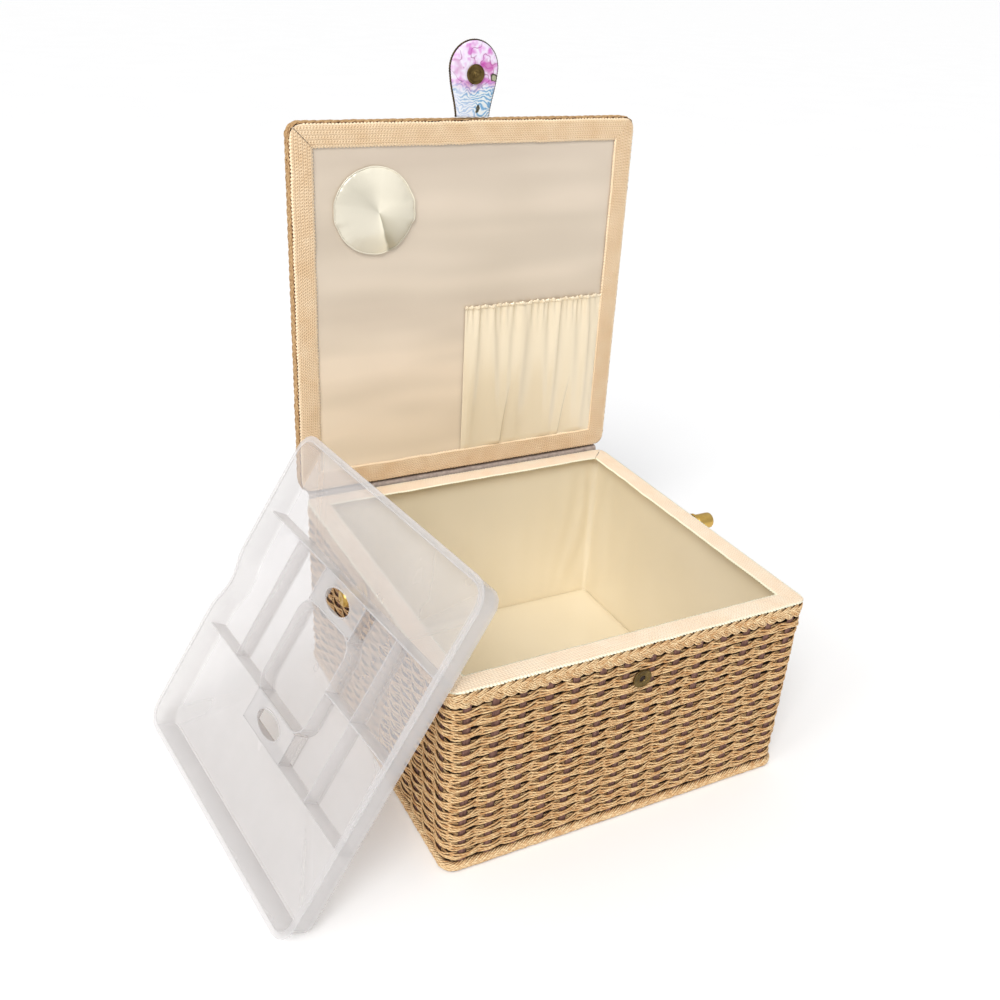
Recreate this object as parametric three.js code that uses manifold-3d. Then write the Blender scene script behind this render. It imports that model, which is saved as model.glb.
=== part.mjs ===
// Sewing box with a lift-out tray: a woven basket with a padded hinged lid, a closing tab and one
// moulded tray leaning against its side. Millimetres, +Z up. Origin: centre of the underside.
// +X is the right side, -Y the front, +Y the hinge side. The lid is modelled fully open.
import * as THREE from 'three';
import { mergeVertices } from 'three/addons/utils/BufferGeometryUtils.js';
import Module from 'manifold-3d';

const wasm = await Module();
wasm.setup();

// ---- fits -----------------------------------------------------------------------------------
const GAP = 0.3; // clearance between neighbouring pieces
const CUT = 5; // how far a cutting body runs past what it cuts
const ROUND_STEPS = 5; // segments in a rounded corner
const CIRCLE_STEPS = 28; // segments in a full circle

// ---- basket ---------------------------------------------------------------------------------
const BOX_HALF = 150; // half the outer width and depth at the rim
const BOX_TAPER = 2; // how much narrower each side is at the foot
const BOX_CORNER = 12; // outer radius of the upright corners
const RIM_Z = 158; // top of the rim tape
const FOOT_TOP_Z = 9; // top of the foot braid
const BRAID_LOW_Z = 144; // underside of the rim braid
const WEAVE_INNER = 143; // half width inside the weave
const WEAVE_ROWS = 15; // horizontal cord rows
const WEAVE_GROOVE = 1.3; // depth of the groove between two rows
const BOARD_OUTER = 142.5; // half width to the outside of the wall boards
const BOARD_INNER = 139.5; // half width to the inside of the wall boards
const BOARD_REACH = 137.3; // half length of a wall board, clear of the rounded corners
const BASE_Z0 = 0; // underside of the base board
const BASE_Z1 = 4; // top of the base board
const PAD_Z1 = 8.3; // top of the padded floor
const LINING_OUTER = 139.2; // half width behind the satin lining
const LINING_INNER = 138.2; // half width between the satin linings

// ---- tapes ----------------------------------------------------------------------------------
const TAPE_WIDTH = 17; // width of the woven tape, rim and lid
const TAPE_THICK = 1.2; // thickness of the woven tape
const TAPE_CORNER = 9; // radius of the tape frame's outer corners

// ---- lid, measured from its hinge edge (s) and from its inner face outwards (n) ----------------
const LID_EDGE_Z = 162.5; // height of the hinge edge when open
const LID_LENGTH = 300; // hinge edge to free edge
const LID_BRAID_OUT = 2; // how far the edge braid stands proud
const LID_BRAID_N0 = 1.5; // edge braid, inner side
const LID_BRAID_N1 = 13.5; // edge braid, outer side
const LID_BOARD_N0 = 2.8;
const LID_BOARD_N1 = 5.8;
const LID_SATIN_N0 = 1.5;
const LID_SATIN_N1 = 2.5;
const COVER_TOP_N = 15; // highest point of the padded cover
const COVER_SKIN = 1.1; // thickness of the cover cloth
const COVER_HALF = 148.4; // half width of the cover inside the braid

// ---- pincushion and pocket --------------------------------------------------------------------
const CUSHION_X = -83.5;
const CUSHION_S = 234.4;
const CUSHION_RADIUS = 34;
const CUSHION_HEIGHT = 13;
const POCKET_X0 = -2;
const POCKET_X1 = 132.6;
const POCKET_S0 = 17.4;
const POCKET_S1 = 150;
const POCKET_DEPTH = 5.4; // free room behind the pocket cloth
const POCKET_CLOTH = 1.1;
const POCKET_SIDE = 1.8; // width of the stitched side and bottom edges
const HEM_HEIGHT = 7; // elastic hem at the pocket's mouth

// ---- tab ------------------------------------------------------------------------------------
const TAB_AXIS_S = 303.7; // fold line, past the hinge edge of the lid
const TAB_AXIS_N = 2;
const TAB_ROOT_S = 302.3;
const TAB_N0 = 2.9; // inner face of the tongue
const TAB_N1 = 6.9; // outer face of the tongue
const TAB_ROOT_HALF = 14;
const TAB_TIP_RADIUS = 20.5;
const TAB_TIP_CENTRE = 34; // from the fold line to the centre of the round tip
const TAB_BINDING = 1.6; // width of the stitched binding
const SNAP_ALONG_TAB = 30; // from the fold line to the clasp centre
const SNAP_RADIUS = 7.5;
const SNAP_THICK = 1.6;
const STUD_RADIUS = 2;
const STUD_HEIGHT = 1.5;
const SOCKET_RADIUS = 2.7;
const FRONT_SNAP_THICK = 1.9;
const FRONT_SNAP_BACK = 150.3; // distance of its back from the box centre
const FRONT_SNAP_Z = 130.6;

// ---- handle posts -----------------------------------------------------------------------------
const POST_Z = 149;
const POST_RADIUS = 7;
const POST_X0 = 153; // start of the barrel
const POST_X1 = 169; // free end of the barrel
const COLLAR_RADIUS = 8.5;
const COLLAR_X0 = 150.4;
const SHANK_RADIUS = 2;
const SHANK_X0 = 143.2;
const SHANK_BORE = 2.4; // hole for the shank in the rim braid and collar

// ---- cloth hinge ------------------------------------------------------------------------------
const HINGE_HALF = 125; // half the length of the cloth hinge
const HINGE_CLOTH = 0.9;
const HINGE_LOWER_Z0 = 140;
const HINGE_LOWER_Z1 = 158.3;
const HINGE_UPPER_Z0 = 159.3;
const HINGE_UPPER_Y1 = 163.5;

// ---- tray, in its own frame: X down the slope, Y towards the front, Z out of its open side -------
const TRAY_SIZE = 272; // rim, both ways
const TRAY_DEPTH = 20;
const TRAY_WALL = 1.6;
const TRAY_RIB = 1.4; // thickness of the divider walls
const TRAY_LEDGE = 3.2; // overhang of the rim flange
const TRAY_DRAFT = 2; // how much each wall leans in
const TRAY_CORNER = 17;
const DIVIDER_TOP = -6; // top of the dividers, from the rim plane
const ROW_1 = 71; // long divider between first and second row
const ROW_2 = 136; // short divider in the middle
const ROW_3 = 201; // long divider between third and last row
const COLUMN_1 = 58; // cross dividers, from the back wall
const COLUMN_2 = 105;
const COLUMN_3 = 169;
const COLUMN_4 = 213;
const PLATFORM_1_X1 = 97; // edge of the first finger-hole platform
const PLATFORM_2_X0 = 175; // edge of the second finger-hole platform
const PLATFORM_SKIN = 1.5;
const FINGER_HOLE_Y = 137;
const FINGER_HOLES_X = [84, 188];
const FINGER_HOLE_LONG = 18.2; // half axis along the rows
const FINGER_HOLE_SHORT = 8.4; // half axis across the rows
const NOTCH_RADIUS = 22;
const NOTCH_DEPTH = 8;
const TRAY_SLOPE = THREE.MathUtils.degToRad(57);
const TRAY_YAW = THREE.MathUtils.degToRad(6.4);
const TRAY_ORIGIN = new THREE.Vector3(-154.3, 118.8, 235.1);

// ---- materials --------------------------------------------------------------------------------
const material = (color, roughness, metalness = 0, opacity = 1) =>
  new THREE.MeshStandardMaterial({ color, roughness, metalness, opacity, transparent: opacity < 1 });
const MATERIALS = {
  cord: material(0xc9a574, 0.85),
  braid: material(0xcfad7c, 0.8),
  board: material(0x9c8b72, 0.9),
  satin: material(0xe4d5b0, 0.35),
  tape: material(0xf4d8b0, 0.75),
  floral: material(0xe9dfe8, 0.7),
  foam: material(0xf1ead9, 0.95),
  binding: material(0x3a3028, 0.8),
  hinge: material(0x9b8a80, 0.9),
  brass: material(0x8b7340, 0.35, 1),
  gold: material(0xd8b45c, 0.3, 1),
  plastic: material(0xe9eef2, 0.3, 0, 0.45),
};

const group = new THREE.Group();
group.name = 'sewing_box';

// ---- building blocks --------------------------------------------------------------------------
function addPiece(name, geometry, slot) {
  const mesh = new THREE.Mesh(geometry, MATERIALS[slot]);
  mesh.name = name;
  mesh.material.name = slot;
  group.add(mesh);
}

function weld(geometry) {
  const plain = geometry.clone();
  plain.deleteAttribute('normal');
  plain.deleteAttribute('uv');
  return mergeVertices(plain, 1e-4);
}

function toSolid(geometry) {
  const welded = weld(geometry);
  const vertProperties = new Float32Array(welded.attributes.position.array);
  const triVerts = new Uint32Array(welded.index.array);
  return new wasm.Manifold(new wasm.Mesh({ numProp: 3, vertProperties, triVerts }));
}

function fromSolid(solid) {
  const mesh = solid.getMesh();
  const geometry = new THREE.BufferGeometry();
  geometry.setAttribute('position', new THREE.BufferAttribute(mesh.vertProperties, 3));
  geometry.setIndex(new THREE.BufferAttribute(mesh.triVerts, 1));
  return geometry;
}

function slab(x0, x1, y0, y1, z0, z1) {
  const geometry = new THREE.BoxGeometry(x1 - x0, y1 - y0, z1 - z0);
  return geometry.translate((x0 + x1) / 2, (y0 + y1) / 2, (z0 + z1) / 2);
}

// Points of a rounded square round the Z axis, anticlockwise.
function roundedSquare(half, radius, z) {
  const points = [];
  for (let corner = 0; corner < 4; corner += 1) {
    const middle = Math.PI / 4 + (corner * Math.PI) / 2;
    const cx = Math.sign(Math.cos(middle)) * (half - radius);
    const cy = Math.sign(Math.sin(middle)) * (half - radius);
    for (let step = 0; step <= ROUND_STEPS; step += 1) {
      const angle = middle + (step / ROUND_STEPS - 0.5) * (Math.PI / 2);
      points.push(new THREE.Vector3(cx + radius * Math.cos(angle), cy + radius * Math.sin(angle), z));
    }
  }
  return points;
}

function bandTriangles(index, count, lower, upper) {
  for (let i = 0; i < count; i += 1) {
    const j = (i + 1) % count;
    index.push(lower + i, lower + j, upper + j, lower + i, upper + j, upper + i);
  }
}

function ringGeometry(rings, index) {
  const positions = rings.flat().flatMap((point) => [point.x, point.y, point.z]);
  const geometry = new THREE.BufferGeometry();
  geometry.setAttribute('position', new THREE.Float32BufferAttribute(positions, 3));
  geometry.setIndex(index);
  return geometry;
}

// Solid skinned over a stack of rings and capped at both ends.
function cappedStack(rings) {
  const count = rings[0].length;
  const index = [];
  for (let r = 0; r < rings.length - 1; r += 1) {
    bandTriangles(index, count, r * count, (r + 1) * count);
  }
  const last = (rings.length - 1) * count;
  for (let i = 1; i < count - 1; i += 1) {
    index.push(0, i + 1, i);
    index.push(last, last + i, last + i + 1);
  }
  return ringGeometry(rings, index);
}

// Frame skinned over rings that run up the outside and come back down the inside.
function closedFrame(rings) {
  const count = rings[0].length;
  const index = [];
  for (let r = 0; r < rings.length; r += 1) {
    bandTriangles(index, count, r * count, ((r + 1) % rings.length) * count);
  }
  return ringGeometry(rings, index);
}

// Flat outline in X and Y pushed from z0 up to z1.
function plate(outline, z0, z1) {
  const shape = new THREE.Shape(outline.map(([x, y]) => new THREE.Vector2(x, y)));
  const geometry = new THREE.ExtrudeGeometry(shape, { depth: z1 - z0, bevelEnabled: false });
  return geometry.translate(0, 0, z0);
}

// Turned solid about the Z axis from [radius, height] pairs.
function turned(profile, steps = CIRCLE_STEPS) {
  return new THREE.LatheGeometry(profile.map(([r, h]) => new THREE.Vector2(r, h)), steps).rotateX(Math.PI / 2);
}

// One mitred strip of a tape frame lying along the -Y side, its corners shared with its neighbours.
function tapeStrip(half, z0) {
  const outer = half - TAPE_CORNER;
  const points = [];
  for (const side of [-1, 1]) {
    for (let step = 0; step <= 3; step += 1) {
      const along = side < 0 ? step / 3 : 1 - step / 3;
      const angle = -Math.PI / 2 + side * (1 - along) * (Math.PI / 4);
      const x = side * outer + TAPE_CORNER * Math.cos(angle) - side * GAP;
      points.push([x, -outer + TAPE_CORNER * Math.sin(angle)]);
    }
  }
  points.push([half - TAPE_WIDTH - GAP, -half + TAPE_WIDTH]);
  points.push([-half + TAPE_WIDTH + GAP, -half + TAPE_WIDTH]);
  return plate(points, z0, z0 + TAPE_THICK);
}

// Moves a piece drawn with x, s, -n as X, Y, Z into the open lid's place.
function ontoLid(geometry) {
  return geometry.rotateX(Math.PI / 2).translate(0, BOX_HALF, LID_EDGE_Z);
}

const SIDES = [['front', 0], ['right', 1], ['back', 2], ['left', 3]];

// ---- basket body ------------------------------------------------------------------------------
function outerHalf(z) {
  return BOX_HALF - BOX_TAPER * (1 - z / BRAID_LOW_Z);
}

function addWeave() {
  const low = FOOT_TOP_Z + GAP;
  const high = BRAID_LOW_Z - GAP;
  const pitch = (high - low) / WEAVE_ROWS;
  const rings = [roundedSquare(WEAVE_INNER, BOX_CORNER - 5, low)];
  for (let row = 0; row < WEAVE_ROWS; row += 1) {
    const z = low + row * pitch;
    rings.push(roundedSquare(outerHalf(z) - WEAVE_GROOVE, BOX_CORNER, z));
    rings.push(roundedSquare(outerHalf(z + pitch / 2), BOX_CORNER, z + pitch / 2));
  }
  rings.push(roundedSquare(outerHalf(high) - WEAVE_GROOVE, BOX_CORNER, high));
  rings.push(roundedSquare(WEAVE_INNER, BOX_CORNER - 5, high));
  addPiece('weave_shell', closedFrame(rings), 'cord');
}

function addFootBraid() {
  const inner = BOX_CORNER - 5;
  const middle = FOOT_TOP_Z / 2;
  const rings = [
    roundedSquare(WEAVE_INNER, inner, 0),
    roundedSquare(outerHalf(0) - 1, BOX_CORNER, 0),
    roundedSquare(outerHalf(0) + 0.6, BOX_CORNER, middle),
    roundedSquare(outerHalf(FOOT_TOP_Z) - 1, BOX_CORNER, FOOT_TOP_Z),
    roundedSquare(WEAVE_INNER, inner, FOOT_TOP_Z),
  ];
  addPiece('foot_braid', closedFrame(rings), 'braid');
}

function addRimBraid() {
  const top = RIM_Z - TAPE_THICK - GAP;
  const inner = BOX_CORNER - 5;
  const rings = [
    roundedSquare(WEAVE_INNER, inner, BRAID_LOW_Z),
    roundedSquare(BOX_HALF - 0.8, BOX_CORNER, BRAID_LOW_Z),
    roundedSquare(BOX_HALF, BOX_CORNER, BRAID_LOW_Z + 2),
    roundedSquare(BOX_HALF, BOX_CORNER, top - 2),
    roundedSquare(BOX_HALF - 0.8, BOX_CORNER, top),
    roundedSquare(WEAVE_INNER, inner, top),
  ];
  const bore = new THREE.CylinderGeometry(SHANK_BORE, SHANK_BORE, 2 * BOX_HALF + 20, 16);
  const solid = toSolid(closedFrame(rings)).subtract(toSolid(bore.rotateZ(Math.PI / 2).translate(0, 0, POST_Z)));
  addPiece('rim_braid', fromSolid(solid), 'braid');
}

function addBoards() {
  const z0 = BASE_Z1 + GAP;
  const z1 = RIM_Z - TAPE_THICK - GAP;
  for (const [side, turns] of SIDES) {
    const board = slab(-BOARD_REACH, BOARD_REACH, -BOARD_OUTER, -BOARD_INNER, z0, z1);
    addPiece(`wall_board_${side}`, board.rotateZ((turns * Math.PI) / 2), 'board');
  }
  const corner = BOX_CORNER - 5;
  const base = [roundedSquare(BOARD_OUTER, corner, BASE_Z0), roundedSquare(BOARD_OUTER, corner, BASE_Z1)];
  addPiece('base_board', cappedStack(base), 'board');
}

function addLinings() {
  const z0 = BASE_Z1 + GAP;
  const z1 = RIM_Z - TAPE_THICK - GAP;
  const end = LINING_INNER - GAP;
  for (const [side, turns] of SIDES) {
    const length = turns % 2 === 0 ? LINING_OUTER : end;
    const lining = slab(-length, length, -LINING_OUTER, -LINING_INNER, z0, z1);
    addPiece(`lining_${side}`, lining.rotateZ((turns * Math.PI) / 2), 'satin');
  }
  addPiece('floor_pad', slab(-end, end, -end, end, z0, PAD_Z1), 'satin');
}

function addRimTapes() {
  for (const [side, turns] of SIDES) {
    const strip = tapeStrip(BOX_HALF, RIM_Z - TAPE_THICK);
    addPiece(`rim_tape_${side}`, strip.rotateZ((turns * Math.PI) / 2), 'tape');
  }
}

function addFrontSnap() {
  const disc = turned([
    [0, -FRONT_SNAP_THICK],
    [SNAP_RADIUS, -FRONT_SNAP_THICK],
    [SNAP_RADIUS, -0.6],
    [SNAP_RADIUS - 0.7, 0],
    [SOCKET_RADIUS, 0],
    [SOCKET_RADIUS, -STUD_HEIGHT],
    [0, -STUD_HEIGHT],
  ]);
  disc.rotateX(Math.PI / 2).translate(0, -FRONT_SNAP_BACK - FRONT_SNAP_THICK, FRONT_SNAP_Z);
  addPiece('front_snap', disc, 'brass');
}

function addHandlePosts() {
  for (const [side, sign] of [['right', 1], ['left', -1]]) {
    const post = turned([
      [0, SHANK_X0],
      [SHANK_RADIUS, SHANK_X0],
      [SHANK_RADIUS, POST_X0],
      [POST_RADIUS, POST_X0],
      [POST_RADIUS, POST_X1 - 1],
      [POST_RADIUS - 1, POST_X1],
      [0, POST_X1],
    ]);
    const collar = turned([
      [SHANK_BORE, COLLAR_X0],
      [COLLAR_RADIUS, COLLAR_X0],
      [COLLAR_RADIUS, COLLAR_X0 + 1.2],
      [COLLAR_RADIUS - 1, POST_X0 - GAP],
      [SHANK_BORE, POST_X0 - GAP],
      [SHANK_BORE, COLLAR_X0],
    ]);
    const toSide = (geometry) => geometry.rotateY((sign * Math.PI) / 2).translate(0, 0, POST_Z);
    addPiece(`handle_post_${side}`, toSide(post), 'gold');
    addPiece(`handle_collar_${side}`, toSide(collar), 'gold');
  }
}

function addHinge() {
  const y0 = BOX_HALF + GAP;
  const lower = slab(-HINGE_HALF, HINGE_HALF, y0, y0 + HINGE_CLOTH, HINGE_LOWER_Z0, HINGE_LOWER_Z1);
  const upperZ1 = HINGE_UPPER_Z0 + HINGE_CLOTH;
  const upper = slab(-HINGE_HALF, HINGE_HALF, BOX_HALF + 1, HINGE_UPPER_Y1, HINGE_UPPER_Z0, upperZ1);
  addPiece('hinge_cloth_lower', lower, 'hinge');
  addPiece('hinge_cloth_upper', upper, 'hinge');
}

// ---- lid --------------------------------------------------------------------------------------
function lidRing(half, radius, n) {
  return roundedSquare(half, radius, -n).map((point) => point.setY(point.y + LID_LENGTH / 2));
}

function addLidBraid() {
  const outer = BOX_HALF + LID_BRAID_OUT;
  const inner = COVER_HALF + GAP;
  const rings = [
    lidRing(inner, BOX_CORNER - 3, LID_BRAID_N1),
    lidRing(outer - 1, BOX_CORNER, LID_BRAID_N1),
    lidRing(outer, BOX_CORNER, LID_BRAID_N1 - 2),
    lidRing(outer, BOX_CORNER, LID_BRAID_N0 + 2),
    lidRing(outer - 1, BOX_CORNER, LID_BRAID_N0),
    lidRing(inner, BOX_CORNER - 3, LID_BRAID_N0),
  ];
  addPiece('lid_braid', ontoLid(closedFrame(rings)), 'braid');
}

function addLidCover() {
  const radius = BOX_CORNER - 3;
  const skin = COVER_SKIN;
  const base = LID_BOARD_N1 + GAP;
  const rings = [
    lidRing(COVER_HALF - 18, radius, COVER_TOP_N),
    lidRing(COVER_HALF - 5, radius, COVER_TOP_N - 1.4),
    lidRing(COVER_HALF, radius, COVER_TOP_N - 4),
    lidRing(COVER_HALF, radius, base),
    lidRing(COVER_HALF - skin, radius, base),
    lidRing(COVER_HALF - skin, radius, COVER_TOP_N - 4 - skin),
    lidRing(COVER_HALF - 6, radius, COVER_TOP_N - 1.4 - skin),
    lidRing(COVER_HALF - 18, radius, COVER_TOP_N - skin),
  ];
  addPiece('lid_cover', ontoLid(cappedStack(rings)), 'floral');
}

function addLidPad() {
  const radius = BOX_CORNER - 3;
  const half = COVER_HALF - COVER_SKIN - GAP;
  const top = COVER_TOP_N - COVER_SKIN - GAP;
  const rings = [
    lidRing(half - 19, radius, top),
    lidRing(half - 6, radius, top - 1.6),
    lidRing(half, radius, top - 4.4),
    lidRing(half, radius, LID_BOARD_N1 + GAP),
  ];
  addPiece('lid_pad', ontoLid(cappedStack(rings)), 'foam');
}

function addLidPanels() {
  const board = cappedStack([
    lidRing(COVER_HALF, BOX_CORNER - 3, LID_BOARD_N1),
    lidRing(COVER_HALF, BOX_CORNER - 3, LID_BOARD_N0),
  ]);
  const satin = cappedStack([
    lidRing(COVER_HALF, BOX_CORNER - 3, LID_SATIN_N1),
    lidRing(COVER_HALF, BOX_CORNER - 3, LID_SATIN_N0),
  ]);
  addPiece('lid_board', ontoLid(board), 'board');
  addPiece('lid_satin', ontoLid(satin), 'satin');
}

function addLidTapes() {
  for (const [side, turns] of SIDES) {
    const strip = tapeStrip(BOX_HALF, -TAPE_THICK).rotateZ((turns * Math.PI) / 2);
    addPiece(`lid_tape_${side}`, ontoLid(strip.translate(0, LID_LENGTH / 2, 0)), 'tape');
  }
}

function addPincushion() {
  const base = -LID_SATIN_N0 + GAP;
  const cushion = turned([
    [0, base],
    [CUSHION_RADIUS - 2, base],
    [CUSHION_RADIUS, base + 2],
    [CUSHION_RADIUS - 1, base + 5],
    [CUSHION_RADIUS - 6, CUSHION_HEIGHT * 0.68],
    [CUSHION_RADIUS - 16, CUSHION_HEIGHT * 0.92],
    [0, CUSHION_HEIGHT],
  ]);
  addPiece('pincushion', ontoLid(cushion.translate(CUSHION_X, CUSHION_S, 0)), 'satin');
}

function addPocket() {
  const base = -LID_SATIN_N0 + GAP;
  const inside = base + POCKET_DEPTH;
  const pouch = toSolid(slab(POCKET_X0, POCKET_X1, POCKET_S0, POCKET_S1, base, inside + POCKET_CLOTH));
  const room = slab(
    POCKET_X0 + POCKET_SIDE,
    POCKET_X1 - POCKET_SIDE,
    POCKET_S0 + POCKET_SIDE,
    POCKET_S1 + CUT,
    base - CUT,
    inside,
  );
  addPiece('pocket', ontoLid(fromSolid(pouch.subtract(toSolid(room)))), 'satin');
  const hemZ = inside + POCKET_CLOTH + GAP;
  const hem = slab(POCKET_X0, POCKET_X1, POCKET_S1 - HEM_HEIGHT, POCKET_S1, hemZ, hemZ + 1.2);
  addPiece('pocket_hem', ontoLid(hem), 'satin');
}

// ---- tab --------------------------------------------------------------------------------------
// Outline of the tongue grown by an amount, from one root corner round the tip to the other.
function tongue(grow) {
  const radius = TAB_TIP_RADIUS + grow;
  const centre = TAB_AXIS_S + TAB_TIP_CENTRE;
  const points = [[TAB_ROOT_HALF + grow, TAB_ROOT_S]];
  const steps = 16;
  for (let step = 0; step <= steps; step += 1) {
    const angle = -0.3 + (step / steps) * (Math.PI + 0.6);
    points.push([radius * Math.cos(angle), centre + radius * Math.sin(angle)]);
  }
  points.push([-TAB_ROOT_HALF - grow, TAB_ROOT_S]);
  return points;
}

function addTab() {
  addPiece('tab_tongue', ontoLid(plate(tongue(0), -TAB_N1, -TAB_N0)), 'floral');
  const binding = [...tongue(GAP + TAB_BINDING), ...tongue(GAP).reverse()];
  addPiece('tab_binding', ontoLid(plate(binding, -TAB_N1 + 0.6, -TAB_N0 - 0.6)), 'binding');
  const face = -TAB_N0 + GAP;
  const snap = turned([
    [0, face],
    [SNAP_RADIUS, face],
    [SNAP_RADIUS, face + SNAP_THICK - 0.5],
    [SNAP_RADIUS - 0.7, face + SNAP_THICK],
    [STUD_RADIUS, face + SNAP_THICK],
    [STUD_RADIUS - 0.2, face + SNAP_THICK + STUD_HEIGHT],
    [0, face + SNAP_THICK + STUD_HEIGHT],
  ]);
  addPiece('tab_snap', ontoLid(snap.translate(0, TAB_AXIS_S + SNAP_ALONG_TAB, 0)), 'brass');
}

// ---- tray -------------------------------------------------------------------------------------
function trayRing(half, radius, z) {
  return roundedSquare(half, radius, z).map((point) => point.add(new THREE.Vector3(TRAY_SIZE / 2, TRAY_SIZE / 2, 0)));
}

function notchCutter(extra) {
  const radius = NOTCH_RADIUS + extra;
  const cutter = new THREE.CylinderGeometry(radius, radius, TRAY_DEPTH + 2 * CUT, 40);
  cutter.rotateX(Math.PI / 2).translate(TRAY_SIZE / 2, NOTCH_DEPTH - NOTCH_RADIUS, -TRAY_DEPTH / 2);
  return toSolid(cutter);
}

function trayOuter() {
  const rim = TRAY_SIZE / 2;
  const wall = rim - TRAY_LEDGE;
  const rings = [
    trayRing(wall - TRAY_DRAFT, TRAY_CORNER - 6, -TRAY_DEPTH),
    trayRing(wall, TRAY_CORNER - 3, -TRAY_WALL),
    trayRing(rim, TRAY_CORNER, -TRAY_WALL),
    trayRing(rim, TRAY_CORNER, 0),
  ];
  return toSolid(cappedStack(rings)).subtract(notchCutter(0));
}

function trayInner() {
  const wall = TRAY_SIZE / 2 - TRAY_LEDGE - TRAY_WALL;
  const rings = [
    trayRing(wall - TRAY_DRAFT, TRAY_CORNER - 7.5, -TRAY_DEPTH + TRAY_WALL),
    trayRing(wall, TRAY_CORNER - 4.5, CUT),
  ];
  return toSolid(cappedStack(rings)).subtract(notchCutter(TRAY_WALL));
}

function rib(x0, x1, y0, y1) {
  return toSolid(slab(x0, x1, y0, y1, -TRAY_DEPTH + TRAY_WALL / 2, DIVIDER_TOP));
}

function trayRibs() {
  const half = TRAY_RIB / 2;
  const reach = TRAY_SIZE - TRAY_LEDGE;
  const alongRow = (x, y0, y1) => rib(x - half, x + half, y0, y1);
  const acrossRows = (y, x0, x1) => rib(x0, x1, y - half, y + half);
  return [
    alongRow(ROW_1, TRAY_LEDGE, reach),
    alongRow(PLATFORM_2_X0, TRAY_LEDGE, COLUMN_2),
    alongRow(ROW_2, COLUMN_3, reach),
    alongRow(ROW_3, COLUMN_2 + half, reach),
    acrossRows(COLUMN_1, ROW_1, PLATFORM_2_X0 + half),
    acrossRows(COLUMN_2, ROW_1, PLATFORM_2_X0 + half),
    acrossRows(COLUMN_3, ROW_1, ROW_3),
    acrossRows(COLUMN_4, ROW_1, ROW_3),
  ];
}

function fingerHole(x) {
  const hole = new THREE.CylinderGeometry(1, 1, 2 * TRAY_DEPTH, 32).rotateX(Math.PI / 2);
  hole.scale(FINGER_HOLE_SHORT, FINGER_HOLE_LONG, 1).translate(x, FINGER_HOLE_Y, -TRAY_DEPTH / 2);
  return toSolid(hole);
}

// Raised platform with a finger hole, open from below.
function withPlatform(body, x0, x1, holeX) {
  const half = TRAY_RIB / 2;
  const block = rib(x0 - half, x1 + half, COLUMN_2 - half, COLUMN_3 + half);
  const room = slab(
    x0 + half,
    x1 - half,
    COLUMN_2 + half,
    COLUMN_3 - half,
    -TRAY_DEPTH - CUT,
    DIVIDER_TOP - PLATFORM_SKIN,
  );
  return body.add(block).subtract(toSolid(room)).subtract(fingerHole(holeX));
}

function addTray() {
  const outer = trayOuter();
  const ribs = trayRibs().reduce((sum, wall) => sum.add(wall));
  let body = outer.subtract(trayInner()).add(ribs.intersect(outer));
  body = withPlatform(body, ROW_1, PLATFORM_1_X1, FINGER_HOLES_X[0]);
  body = withPlatform(body, PLATFORM_2_X0, ROW_3, FINGER_HOLES_X[1]);
  const turn = new THREE.Matrix4().makeRotationZ(TRAY_YAW);
  const down = new THREE.Vector3(-Math.cos(TRAY_SLOPE), 0, -Math.sin(TRAY_SLOPE));
  const front = new THREE.Vector3(0, -1, 0);
  const out = new THREE.Vector3(-Math.sin(TRAY_SLOPE), 0, Math.cos(TRAY_SLOPE));
  const place = new THREE.Matrix4().makeBasis(down, front, out).premultiply(turn).setPosition(TRAY_ORIGIN);
  addPiece('tray', fromSolid(body).applyMatrix4(place), 'plastic');
}

addWeave();
addFootBraid();
addRimBraid();
addBoards();
addLinings();
addRimTapes();
addFrontSnap();
addHandlePosts();
addHinge();
addLidBraid();
addLidCover();
addLidPad();
addLidPanels();
addLidTapes();
addPincushion();
addPocket();
addTab();
addTray();

export default group;
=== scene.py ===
"""Looks of the sewing box: a woven basket with a padded floral lid, a closing tab and one clear tray."""
import math

import bmesh
import bpy
import numpy as np
from mathutils import Matrix, Vector, noise


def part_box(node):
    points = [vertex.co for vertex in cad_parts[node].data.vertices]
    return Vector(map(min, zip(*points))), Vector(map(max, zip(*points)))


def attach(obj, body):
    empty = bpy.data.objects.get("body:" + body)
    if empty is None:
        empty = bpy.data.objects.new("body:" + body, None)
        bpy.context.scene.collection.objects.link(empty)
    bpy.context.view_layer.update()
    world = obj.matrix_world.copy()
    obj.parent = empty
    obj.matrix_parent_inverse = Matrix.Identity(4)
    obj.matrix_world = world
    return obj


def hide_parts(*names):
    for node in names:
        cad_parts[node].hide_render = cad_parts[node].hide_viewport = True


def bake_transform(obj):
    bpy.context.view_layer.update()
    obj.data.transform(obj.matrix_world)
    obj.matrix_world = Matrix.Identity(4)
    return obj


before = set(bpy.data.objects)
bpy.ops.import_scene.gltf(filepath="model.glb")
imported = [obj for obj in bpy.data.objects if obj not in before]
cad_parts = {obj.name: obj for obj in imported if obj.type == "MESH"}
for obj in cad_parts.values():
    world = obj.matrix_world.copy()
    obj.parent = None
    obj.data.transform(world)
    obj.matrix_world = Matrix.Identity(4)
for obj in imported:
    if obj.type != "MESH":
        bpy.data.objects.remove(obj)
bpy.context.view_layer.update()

MM = 0.001
SEED = 7
TURN = 2 * math.pi

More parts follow.
